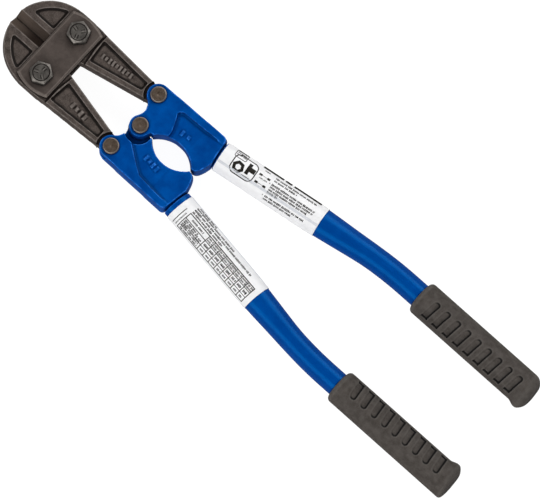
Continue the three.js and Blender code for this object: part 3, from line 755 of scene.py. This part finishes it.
def join(name, objects):
    """One object from several, with their meshes unchanged."""
    joined = bmesh.new()
    joined.verts.layers.float.new("ridge")
    for obj in objects:
        joined.from_mesh(obj.data)
        bpy.data.objects.remove(obj)
    mesh = bpy.data.meshes.new(name)
    joined.to_mesh(mesh)
    joined.free()
    return add_piece(name, mesh)


def shanked(name, node, nut_node, head, seat, size):
    """A head joined to its plain shank and to the threaded end in the nut."""
    low, high = node_box(node)
    centre = (low + high) / 2.0
    thread_top = node_box(nut_node)[1][2] - 1.0
    screw = threaded("screw", centre, size["shank"], low[2] + 0.02, thread_top, size["pitch"])
    shank = turned("shank", centre, [
        (0.0, thread_top, 0.0), (size["shank"], thread_top, 0.0),
        (size["shank"], seat, 0.0), (0.0, seat, 0.0),
    ])
    return join(name, [head, screw, shank])


def make_bolt(side, turn):
    node = "pivot_bolt_" + side
    low, high = node_box(node)
    seat = high[2] - BOLT["head"]
    head = hexagon("head", (low + high) / 2.0, BOLT["flats"], seat, high[2], turn, dish=0.12)
    bolt = shanked("pivot_bolt_detailed_" + side, node, "pivot_nut_" + side, head, seat + 0.5, BOLT)
    dress(bolt, "head", "bolt_steel", replaces=[node])


def make_nut(node, body, slot, size, turn):
    low, high = node_box(node)
    nut = hexagon(node + "_detailed", (low + high) / 2.0, size["flats"], low[2], high[2], turn,
                  bore=size["nut_bore"])
    dress(nut, body, slot, replaces=[node])


def make_washer(node, body):
    low, high = node_box(node)
    bore, radius, edge = PIN_WASHER["bore"], PIN_WASHER["radius"], 0.18
    # ridge shares give the washer's edges a painted highlight
    washer = turned(node + "_detailed", (low + high) / 2.0, [
        (bore, low[2] + edge, 0.4), (bore + edge, low[2], 0.8), (radius - edge, low[2], 0.8),
        (radius, low[2] + edge, 0.8), (radius, high[2] - edge, 0.8), (radius - edge, high[2], 0.8),
        (bore + edge, high[2], 0.8), (bore, high[2] - edge, 0.4),
    ], closed=True)
    shade_by_angle(washer, 35.0)
    dress(washer, body, "pin_steel", replaces=[node])


LOCK_WASHER = {"inner": 5.15, "outer": 8.2, "edge": 0.2, "steps": 120}
SPLIT = {"towards": 0.5 + pi, "half_gap": 0.085, "offset": 0.3}  # two angles, and mm


def make_lock_washer(side):
    """A split spring washer, its two ends a little out of line."""
    node = "lock_washer_" + side
    low, high = node_box(node)
    centre = sum(node_box("pivot_nut_" + side)) / 2.0
    inner, outer, edge, steps = LOCK_WASHER.values()
    middle, half = (low[2] + high[2]) / 2.0, (high[2] - low[2]) / 2.0
    section = [(inner, -1), (inner + edge, -1), (outer - edge, -1), (outer, -1),
               (outer, 1), (outer - edge, 1), (inner + edge, 1), (inner, 1)]
    rings = []
    for share in (step / steps for step in range(steps + 1)):
        sweep = 2.0 * pi - 2.0 * SPLIT["half_gap"]
        angle = SPLIT["towards"] + SPLIT["half_gap"] + sweep * share
        skew = (share - 0.5) * SPLIT["offset"]
        ring = []
        for radius, end in section:
            inset = edge if radius in (inner, outer) else 0.0
            ring.append((centre[0] + radius * cos(angle), centre[1] + radius * sin(angle),
                         middle + end * (half - SPLIT["offset"] / 2 - inset) + skew))
        rings.append(ring)
    washer = ring_solid(node + "_detailed", rings)
    shade_by_angle(washer, 30.0)
    # ridge shares make the split washer's edges lighter, for rubbing and painted highlight
    set_attribute(washer, "ridge", np.tile([0.5, 0.7, 0.7, 0.8, 0.8, 0.7, 0.7, 0.5], steps + 1))
    dress(washer, "head", "bolt_steel", replaces=[node])


def make_pin(node, body, nut_node):
    """A riveted-looking pin head with a turned rim, and its threaded end under the bracket."""
    low, high = node_box(node)
    radius, top = (high[0] - low[0]) / 2.0, high[2]
    seat = top - PIN["head"]
    # ridge shares in this profile give the rim a painted highlight
    head = turned("head", (low + high) / 2.0, [
        (0.0, seat, 0.0), (radius - 0.2, seat, 0.0), (radius, seat + 0.25, 0.4),
        (radius, top - 0.9, 0.3), (radius - 0.1, top - 0.55, 0.8), (radius - 0.34, top - 0.22, 1.0),
        (radius - 0.7, top - 0.04, 0.6), (radius - 1.1, top, 0.1), (radius - 1.6, top - 0.03, 0.0),
        (radius - 2.2, top - 0.08, 0.0), (radius - 3.0, top - 0.1, 0.0), (1.6, top - 0.12, 0.0),
        (0.9, top - 0.22, 0.0), (0.35, top - 0.34, -0.3), (0.0, top - 0.4, -0.4),
    ])
    pin = shanked(node + "_detailed", node, nut_node, head, seat + 0.4, PIN)
    dress(pin, body, "pin_steel", replaces=[node])


def make_pin_set(where, body, nut_turn):
    pin_node = "centre_pin" if where == "centre" else "link_pin_" + where
    make_pin(pin_node, body, "pin_nut_" + where)
    make_washer("pin_washer_" + where, body)
    make_nut("pin_nut_" + where, body, "pin_steel", PIN, nut_turn)


TURNS = {"left": (25.0, 12.0), "right": (-12.0, 40.0)}  # degrees, of each bolt head and nut
for side, (bolt_turn, nut_turn) in TURNS.items():
    make_bolt(side, bolt_turn)
    make_nut("pivot_nut_" + side, "head", "bolt_steel", BOLT, nut_turn)
    make_lock_washer(side)
    make_pin_set(side, "handle_" + side, nut_turn)
make_pin_set("centre", "handle_right", 20.0)

# ---- handle tubes

HANDLE_ANGLE = radians(8.2)  # the front run leans outwards by this
BRACKET_REAR = (-130.8, 22.7)  # where the tube's axis leaves the bracket
BEND_RADIUS = 300.0
TUBE_WALL = 1.6
TUBE_FRONT = (11.0, 8.2)  # half widths, across and up
TUBE_REAR = (9.0, 9.0)
ROUNDING = (72.0, 134.0)  # along the axis, where oval turns to round
TUBE_START = 0.3
STATION_STEP = 3.0
GRIP_LOW, GRIP_HIGH = node_box("grip_left")
TUBE_LOW, TUBE_HIGH = node_box("handle_tube_left")
GRIP_AXIS_Y = TUBE_HIGH[1] - TUBE_REAR[0]
BEND_START = ((GRIP_AXIS_Y - BRACKET_REAR[1] - BEND_RADIUS * (1.0 - cos(HANDLE_ANGLE)))
              / sin(HANDLE_ANGLE))
BEND_LENGTH = BEND_RADIUS * HANDLE_ANGLE
BEND_END_X = (BRACKET_REAR[0] - BEND_START * cos(HANDLE_ANGLE)
              - BEND_RADIUS * sin(HANDLE_ANGLE))
TUBE_LENGTH = BEND_START + BEND_LENGTH + BEND_END_X - TUBE_LOW[0]


def handle_axis(distance):
    """The handle's axis at a distance along it, drawn for the left side, and how far it leans."""
    straight = min(distance, BEND_START)
    bent = min(max((distance - BEND_START) / BEND_RADIUS, 0.0), HANDLE_ANGLE)
    rest = max(0.0, distance - BEND_START - BEND_LENGTH)
    lean = HANDLE_ANGLE - bent
    x = (BRACKET_REAR[0] - straight * cos(HANDLE_ANGLE)
         - BEND_RADIUS * (sin(HANDLE_ANGLE) - sin(lean)) - rest)
    y = (BRACKET_REAR[1] + straight * sin(HANDLE_ANGLE)
         + BEND_RADIUS * (cos(lean) - cos(HANDLE_ANGLE)))
    return x, y, lean


def tube_section(distance, grow):
    """Half widths of the tube at a distance along it, grown by that many millimetres."""
    share = float(smoothstep(distance, *ROUNDING))
    return [front + (rear - front) * share + grow for front, rear in zip(TUBE_FRONT, TUBE_REAR)]


def on_handle(sign, distance, angles, grow):
    """Points round a handle: angles from the top, positive towards the tool's outer side."""
    x, y, lean = handle_axis(distance)
    across, up = tube_section(distance, grow)
    offset = np.sin(angles) * across
    return np.stack([
        x + offset * sin(lean), sign * (y + offset * cos(lean)), np.cos(angles) * up,
    ], axis=-1)


def make_tube(side):
    start, end, wall = TUBE_START, TUBE_LENGTH, -TUBE_WALL
    stations = list(np.arange(start + STATION_STEP, end - STATION_STEP / 2, STATION_STEP))
    # rows of distance, growth and ridge share; the ridge share gives the tube's rounded ends a
    # painted highlight in the enamel
    rows = [(start + 0.5, wall, 0.0), (start, wall + 0.35, 0.4), (start, -0.5, 0.6),
            (start + 0.15, -0.15, 0.8), (start + 0.5, 0.0, 0.5), (start + 1.0, 0.0, 0.0)]
    rows += [(station, 0.0, 0.0) for station in stations]
    rows += [(end - 0.4, 0.0, 0.3), (end, -0.4, 0.4),
             (end, wall + 0.3, 0.0), (end - 0.4, wall, 0.0)]
    rows += [(station, wall, 0.0) for station in stations[::-3]]
    angles = directions(72)
    rings = [on_handle(SIDES[side], distance, angles, grow) for distance, grow, _ in rows]
    obj = ring_solid("handle_tube_painted_" + side, rings, closed=True)
    set_attribute(obj, "ridge", np.repeat([ridge for _, _, ridge in rows], len(angles)))
    shade_by_angle(obj, 40.0)
    dress(obj, "handle_" + side, "blue_paint", "tube_paint", replaces=["handle_tube_" + side])


# ---- labels

LABEL_LENGTH = 84.5
LABEL_START = {"left": 4.0, "right": 1.0}
FILM_INNER = 0.15
FILM_OUTER = 0.4
INK_LIFTS = (-0.06, 0.035)  # of the ink's root and face, off the film
ARC_STEP = 0.8  # the longest step of a patch round the handle
LONG_STEP = 6.0  # and along it
LETTER_GAP = 0.2
WORD_GAP = 0.6


def arc_angle(distance, arcs):
    """Angles from the top that lie at the given arc lengths over the label's face."""
    across, up = tube_section(distance, FILM_OUTER)
    angles = np.linspace(-pi * 0.6, pi * 0.6, 361)
    steps = np.hypot(np.diff(across * np.sin(angles)), np.diff(up * np.cos(angles)))
    lengths = np.concatenate([[0.0], np.cumsum(steps)])
    lengths -= np.interp(0.0, angles, lengths)
    return np.interp(arcs, lengths, angles)


class LabelInkAndShade:
    """Ink on a label, and bands of painted shade on its film: closed flat patches that follow the
    film. Arcs are positive towards +Y.
    """

    def __init__(self, side):
        self.side, self.sign = side, SIDES[side]
        self.meshes = {"label_ink": ([], []), "label_shade_band": ([], [])}  # vertices and faces
        self.random = random.Random("print " + side)

    def patch(self, near, far, ink_name="label_ink"):
        """A closed patch between two rows of (distance, arc) points, cut up to follow the film."""
        near, far = np.array(near, dtype=float), np.array(far, dtype=float)
        steps = np.maximum(np.abs(np.diff(near, axis=0)), np.abs(np.diff(far, axis=0)))
        parts = np.ceil(steps / (LONG_STEP, ARC_STEP)).max(axis=1).astype(int)
        keys = np.concatenate([np.linspace(i, i + 1, max(part, 1), endpoint=False)
                               for i, part in enumerate(parts)] + [[len(parts)]])
        rows = [np.stack([np.interp(keys, range(len(row)), column) for column in row.T], axis=1)
                for row in (near, far)]
        lanes = max(1, ceil(np.abs(rows[1] - rows[0])[:, 1].max() / ARC_STEP))
        vertices, faces = self.meshes[ink_name]
        start = len(vertices)
        for lane in range(lanes + 1):
            for distance, arc in rows[0] + (rows[1] - rows[0]) * lane / lanes:
                angle = float(arc_angle(distance, arc)) * self.sign
                vertices += [on_handle(self.sign, distance, angle, FILM_OUTER + lift)
                             for lift in INK_LIFTS]
        count = len(keys)

        def at(lane, index, top):
            return start + (lane * count + index) * 2 + top

        def wall(first, second):
            return (at(*first, 0), at(*first, 1), at(*second, 1), at(*second, 0))

        for lane in range(lanes):
            for i in range(count - 1):
                corners = ((lane, i), (lane, i + 1), (lane + 1, i + 1), (lane + 1, i))
                faces += [tuple(at(*corner, top) for corner in corners) for top in (0, 1)]
            faces += [wall((lane, i), (lane + 1, i)) for i in (0, count - 1)]
        for lane in (0, lanes):
            faces += [wall((lane, i), (lane, i + 1)) for i in range(count - 1)]

    def bar(self, d0, d1, t0, t1, ink_name="label_ink"):
        """A rectangle from d0 to d1 along the handle and from t0 to t1 round it."""
        self.patch([(d0, t0), (d1, t0)], [(d0, t1), (d1, t1)], ink_name)

    def words(self, d0, d1, middle, height, density=0.6):
        """A row of short strokes like print too small to read."""
        d = d0
        while d < d1:
            for _ in range(self.random.randint(3, 8)):
                if d >= d1:
                    break
                width = self.random.uniform(0.4, 0.68) * density / 0.6
                tall = 1.25 * height * self.random.choice((0.74, 0.74, 1.0))
                self.bar(d, d + width, middle - tall / 2, middle + tall / 2)
                d += width + LETTER_GAP
            d += WORD_GAP

    def frame(self, d0, d1, t0, t1, width, corner):
        """A rounded frame line."""
        corners = [(d1 - corner, t1 - corner, 0), (d0 + corner, t1 - corner, 90),
                   (d0 + corner, t0 + corner, 180), (d1 - corner, t0 + corner, 270)]
        rows = []
        for radius in (corner, corner - width):
            row = [(d + radius * cos(angle), t + radius * sin(angle))
                   for d, t, start in corners
                   for angle in (radians(start + 15 * step) for step in range(7))]
            rows.append(row + row[:1])
        self.patch(*rows)

    def ring(self, d, t, outer, inner, sides, turn):
        """A flat ring with that many sides."""
        angles = [radians(turn + 360.0 * i / sides) for i in range(sides + 1)]
        self.patch(*([(d + radius * cos(angle), t + radius * sin(angle))
                      for angle in angles] for radius in (outer, inner)))

    def make(self):
        for ink_name, (vertices, faces) in self.meshes.items():
            obj = make_object(f"{ink_name}_{self.side}", np.array(vertices), faces, smooth=False)
            outward(obj)
            dress(obj, "handle_" + self.side, "label_film", ink_name)


def ink_and_shade_left():
    """A size table with rows of small print beside it, and a band of painted shade along the label.
    """
    p = LabelInkAndShade("left")
    left, right = 13.4, 83.8
    p.bar(8.8, 9.4, -2.4, 12.6)
    for t in np.arange(0.2, 11.4, 0.9):
        p.bar(11.0, 12.0, t, t + 0.5)
    for line in ((left, right, -2.45, -1.7), (left, right, 2.25, 2.8), (27.0, right, 6.9, 7.4),
                 (left, right, 11.6, 12.3), (13.3, 13.95, -2.35, 12.0)):
        p.bar(*line)
    for d in [34.9 + 6.11 * i for i in range(9)]:
        p.bar(d - 0.33, d + 0.33, -2.3, 12.0)
        if d < right - 3.0:
            for cell in ((d + 1.3, d + 4.9, 4.9, 1.7, 0.85), (d + 1.7, d + 4.6, 9.4, 1.4, 0.7),
                         (d + 0.8, d + 5.5, -0.6, 1.3, 0.6), (d + 0.8, d + 5.5, 1.2, 1.2, 0.6)):
                p.words(*cell)
    for row in ((18.0, 30.0, 0.3, 1.3, 0.6), (14.6, 28.5, 3.9, 1.25, 0.62),
                (14.6, 33.0, 5.4, 1.25, 0.62), (14.6, 33.0, 6.9, 1.25, 0.62),
                (14.6, 33.0, 8.4, 1.25, 0.62), (15.5, 33.0, 10.4, 1.3, 0.6),
                (13.6, 45.5, -3.9, 1.4, 0.7), (13.6, 74.5, -6.2, 1.5, 0.75),
                (13.6, 53.5, -8.7, 1.5, 0.8), (15.0, 32.6, -10.9, 1.7, 0.9)):
        p.words(*row)
    # painted shade: a pale grey band along the film
    p.bar(4.6, 87.8, -14.8, -12.4, "label_shade_band")
    p.make()


def ink_and_shade_right():
    """A boxed nut-and-bolt pictogram, a dark band and rows of small print, and a pale band of
    painted shade.
    """
    p = LabelInkAndShade("right")
    for d0, d1 in ((30.6, 47.4), (49.0, 54.3), (56.1, 79.2)):
        p.bar(d0, d1, -15.5, -10.6)
    p.frame(8.8, 18.6, -12.6, -4.9, 0.5, 1.2)
    p.bar(9.6, 17.8, -12.0, -11.0)
    p.words(10.0, 17.4, -9.6, 1.0)
    p.words(10.0, 17.4, -7.6, 1.0)
    p.frame(10.0, 29.4, -9.0, 6.6, 0.8, 4.6)
    p.ring(15.9, 0.7, 4.8, 2.2, 6, 12.0)
    for block in ((21.6, 24.3, -6.6, 2.2), (24.3, 28.3, -4.1, -0.4), (20.8, 27.4, 3.6, 4.2)):
        p.bar(*block)
    p.words(33.2, 37.4, -8.6, 1.0, 0.5)
    for t in (-4.6, 1.7):
        p.bar(31.0, 33.4, t, t + 1.6)
        p.bar(37.6, 40.0, t, t + 1.6)
        p.bar(33.4, 37.6, t + 0.6, t + 0.9)
    p.words(32.4, 38.4, -1.4, 0.8, 0.45)
    for end, t, bold in ((77.0, -7.8, 0.7), (61.0, -5.3, 0.7), (78.6, -1.9, 0.8), (77.6, 0.2, 0.7),
                         (74.6, 2.3, 0.7), (50.4, 4.3, 0.9), (75.0, 7.6, 0.85), (65.0, 9.9, 0.8)):
        p.words(42.5, end, t, 1.35, bold)
    p.bar(40.6, 41.3, -2.2, -1.5)
    p.bar(40.6, 41.3, 7.3, 8.0)
    # painted shade: a pale grey band along the film
    p.bar(1.4, 85.2, 3.6, 5.5, "label_shade_band")
    p.make()


LAP = {"at": 188.0, "height": 0.09}  # degrees from the top, millimetres


def make_label(side):
    """A film wrapped once round the tube, its ends lapped underneath."""
    start = LABEL_START[side] + 0.02
    end = LABEL_START[side] + LABEL_LENGTH - 0.02
    angles = directions(96)
    lap = smoothstep(np.abs(np.degrees(angles) - LAP["at"]), 16.0, 14.0) * LAP["height"]
    rim = [(0.12, FILM_INNER), (0.0, FILM_INNER + 0.06),
           (0.0, FILM_OUTER - 0.06), (0.12, FILM_OUTER)]
    rows = [(start + inset, grow) for inset, grow in rim]
    rows += [(station, FILM_OUTER) for station in np.arange(start + 0.4, end - 0.2, 2.4)]
    rows += [(end - inset, grow) for inset, grow in rim[::-1]]
    rings = []
    for distance, grow in rows:
        ring = on_handle(SIDES[side], distance, angles, grow)
        if grow > 0.3:
            x, y, _ = handle_axis(distance)
            away = ring - (x, SIDES[side] * y, 0.0)
            ring = ring + away / np.linalg.norm(away, axis=1)[:, None] * lap[:, None]
        rings.append(ring)
    obj = ring_solid("label_wrap_" + side, rings, closed=True)
    shade_by_angle(obj, 40.0)
    dress(obj, "handle_" + side, "label_film", replaces=["label_" + side])


for side in SIDES:
    make_tube(side)
    make_label(side)
ink_and_shade_left()
ink_and_shade_right()

# ---- grips

GRIP_LENGTH = GRIP_HIGH[0] - GRIP_LOW[0]
GRIP_HALF = (12.8, (GRIP_HIGH[2] - GRIP_LOW[2]) / 2.0)  # across and up
GRIP_BORE = 9.3
BORE_DEPTH = GRIP_LENGTH - 5.7
QUARTER_GIRTH = 20.3
LEAD = 3.2  # rounding of the mouth
DOME = 8.0  # length of the closed end that gets finer rings
RING_STEP = 0.42
CORNERS = {"left": (2.2, 5.0), "right": (8.0, 5.0)}  # radii of the closed end, outer and inner side
STOP = {"height": 1.7, "from_end": 12.0, "rise": 6.0, "fall": 5.0}  # swelling that stops the hand
PADS = {"count": 9, "first": 17.8, "pitch": 9.7, "width": 5.7, "slant": 0.14,
        "outer": 3.4, "inner": 13.6}
PAD_DEPTH = 1.25


def grip_radius(distance, corner):
    """Share of the full half width at a distance from the mouth."""
    short = 1.0 - np.clip(distance / LEAD, 0.0, 1.0)
    lead = LEAD * (1.0 - np.sqrt(np.clip(1.0 - short ** 2, 0.0, 1.0)))
    into = np.clip((distance - (GRIP_LENGTH - corner)) / corner, 0.0, 1.0)
    return 1.0 - (lead + corner * (1.0 - np.sqrt(1.0 - into ** 2))) / GRIP_HALF[0]


def pads(distance, arc):
    """Depth of the finger pads, deepest at their rear walls, and the painted shadow along those
    walls and at the pads' closed ends.
    """
    depth = np.zeros_like(arc)
    painted_shadow = np.zeros_like(arc)
    centre_line = PADS["first"] - PADS["width"] / 2.0 - PADS["slant"] * (PADS["outer"] - arc)
    radius = PADS["width"] / 2.0
    for index in range(PADS["count"]):
        along = distance - (centre_line + index * PADS["pitch"])
        past = np.maximum(arc - (PADS["outer"] - radius), 0.0)
        inside = radius - np.hypot(along, past)
        inside = np.minimum(inside, arc + PADS["inner"])
        rear = np.clip((along + radius) / (2.0 * radius), 0.0, 1.0)
        closed_end = smoothstep(arc, -PADS["inner"] + 3.2, -PADS["inner"] + 0.6)
        fall = 0.22 + 0.78 * np.maximum(rear ** 1.3, closed_end)
        slope = smoothstep(inside, 0.0, 0.55 + 0.35 * (1.0 - rear))
        depth = np.maximum(depth, PAD_DEPTH * fall * slope)
        # painted shadow: a dark foot along the rear wall and outer arc, a dark blot at the closed
        # end, and shade over the rear of each pad
        foot = band(inside, -0.2, 0.2, 0.95, 1.8)
        blot = smoothstep(inside, -0.2, 0.3) * closed_end
        outer_arc = 0.85 * smoothstep(past, 0.4, 1.6) * smoothstep(rear, 0.08, 0.4)
        wall = foot * np.maximum(smoothstep(rear, 0.5, 0.8), outer_arc)
        shade = 0.5 * smoothstep(inside, -0.1, 0.6) * smoothstep(rear, 0.3, 1.0)
        painted_shadow = np.maximum(painted_shadow, np.maximum(np.maximum(wall, shade), 0.97 * blot))
    return depth, painted_shadow


def make_grip(side):
    angles = directions(224)
    around = len(angles)
    aside, upward = np.sin(angles), np.cos(angles)
    across, up = GRIP_HALF
    outer_corner, inner_corner = CORNERS[side]
    corner = inner_corner + (outer_corner - inner_corner) * smoothstep(aside, -0.5, 0.7)

    # arc from the nearer of the top and bottom, positive outwards, negative towards the inner side
    quarter_turns = np.abs(np.arcsin(np.clip(aside, -1, 1)))
    arc = np.interp(quarter_turns, [0, pi / 2], [0, QUARTER_GIRTH]) * np.sign(aside)

    def ring(distance, offset, height):
        x = np.full(around, GRIP_HIGH[0] - distance)
        return np.stack([x, SIDES[side] * (GRIP_AXIS_Y + offset), height], axis=1)

    bore_rows = ((BORE_DEPTH, 0.2), (BORE_DEPTH, GRIP_BORE), (BORE_DEPTH * 0.66, GRIP_BORE),
                 (BORE_DEPTH * 0.33, GRIP_BORE), (0.5, GRIP_BORE), (0.0, GRIP_BORE + 0.3))
    rings = [ring(distance, aside * radius, upward * radius) for distance, radius in bore_rows]
    pad_shadow = [np.zeros(around)] * len(rings)
    for distance in np.concatenate([
        LEAD * (1.0 - np.cos(np.linspace(0.0, pi / 2, 9)))[:-1],
        np.arange(LEAD, GRIP_LENGTH - DOME, RING_STEP),
        GRIP_LENGTH - DOME + DOME * np.sin(np.linspace(0.0, pi / 2, 20)),
    ]):
        share = grip_radius(distance, corner)
        depth, painted_shadow = pads(distance, arc)
        stop = GRIP_LENGTH - STOP["from_end"]
        swell = band(distance, stop, stop + STOP["rise"], GRIP_LENGTH - STOP["fall"], GRIP_LENGTH)
        swell = np.where(aside < 0, STOP["height"] * swell * aside ** 2, 0.0)
        offset = aside * (across * share - depth) - swell
        rings.append(ring(distance, offset, upward * (up * share - depth)))
        pad_shadow.append(painted_shadow)
    for fill in (0.8, 0.6, 0.4, 0.2, 0.02):
        share = grip_radius(GRIP_LENGTH, corner) * fill
        rings.append(ring(GRIP_LENGTH, aside * across * share, upward * up * share))
        pad_shadow.append(np.zeros(around))
    obj = ring_solid("grip_moulded_" + side, rings)
    # painted shadow of the pads, read by the rubber
    set_attribute(obj, "pad_shadow", np.concatenate(pad_shadow))
    mark_ridges(obj, blur=1)
    dress(obj, "handle_" + side, "grip_rubber", replaces=["grip_" + side])


for side in SIDES:
    make_grip(side)

# ---- studio


def make_floor():
    """A white light table."""
    far = 6.0
    corners = [(-far, -far, 0), (far, -far, 0), (far, far, 0), (-far, far, 0)]
    mesh = bpy.data.meshes.new("floor")
    mesh.from_pydata(corners, [], [(0, 1, 2, 3)])
    floor = bpy.data.objects.new("floor", mesh)
    SCENE.collection.objects.link(floor)
    s = Shader("light_table")
    tone = s.mix(s.noise(900.0, 1.0), (0.14, 0.14, 0.14), (0.16, 0.16, 0.16))
    floor.data.materials.append(s.finish(
        tone, 0.9, Specular_IOR_Level=0.1,
        Emission_Color=(1.0, 1.0, 1.0), Emission_Strength=0.95,
    ))
    floor.visible_glossy = False  # the tool's gloss shows the soft boxes, not the table


def make_light(name, across, tilt_degrees, distance, size, power):
    """A soft box beside the tool, long side along it; tilt is from the vertical, towards +Y."""
    light = bpy.data.lights.new(name, "AREA")
    light.shape = "RECTANGLE"
    light.size, light.size_y = size
    light.energy = power
    lamp = bpy.data.objects.new(name, light)
    tilt = radians(tilt_degrees)
    direction = Vector((across, sin(tilt), cos(tilt))).normalized()
    lamp.location = direction * distance
    lamp.rotation_euler = direction.to_track_quat("Z", "X").to_euler()
    SCENE.collection.objects.link(lamp)
    return lamp


def make_studio():
    make_floor()
    fill = make_light("overhead_fill", 0.0, 0.0, 4.0, (4.0, 4.0), 36.0)
    fill.visible_glossy = False
    fill.visible_camera = False
    make_light("soft_box_left", -0.1, 50.0, 1.3, (0.8, 1.8), 14.0)
    make_light("soft_box_right", 0.1, -50.0, 1.3, (0.8, 1.8), 14.0)
    world = bpy.data.worlds.new("studio")
    world.use_nodes = True
    background = world.node_tree.nodes["Background"]
    background.inputs["Color"].default_value = (1.0, 1.0, 1.0, 1.0)
    background.inputs["Strength"].default_value = 0.1
    SCENE.world = world
    SCENE.view_settings.view_transform = "Standard"


make_studio()

bpy.context.view_layer.update()
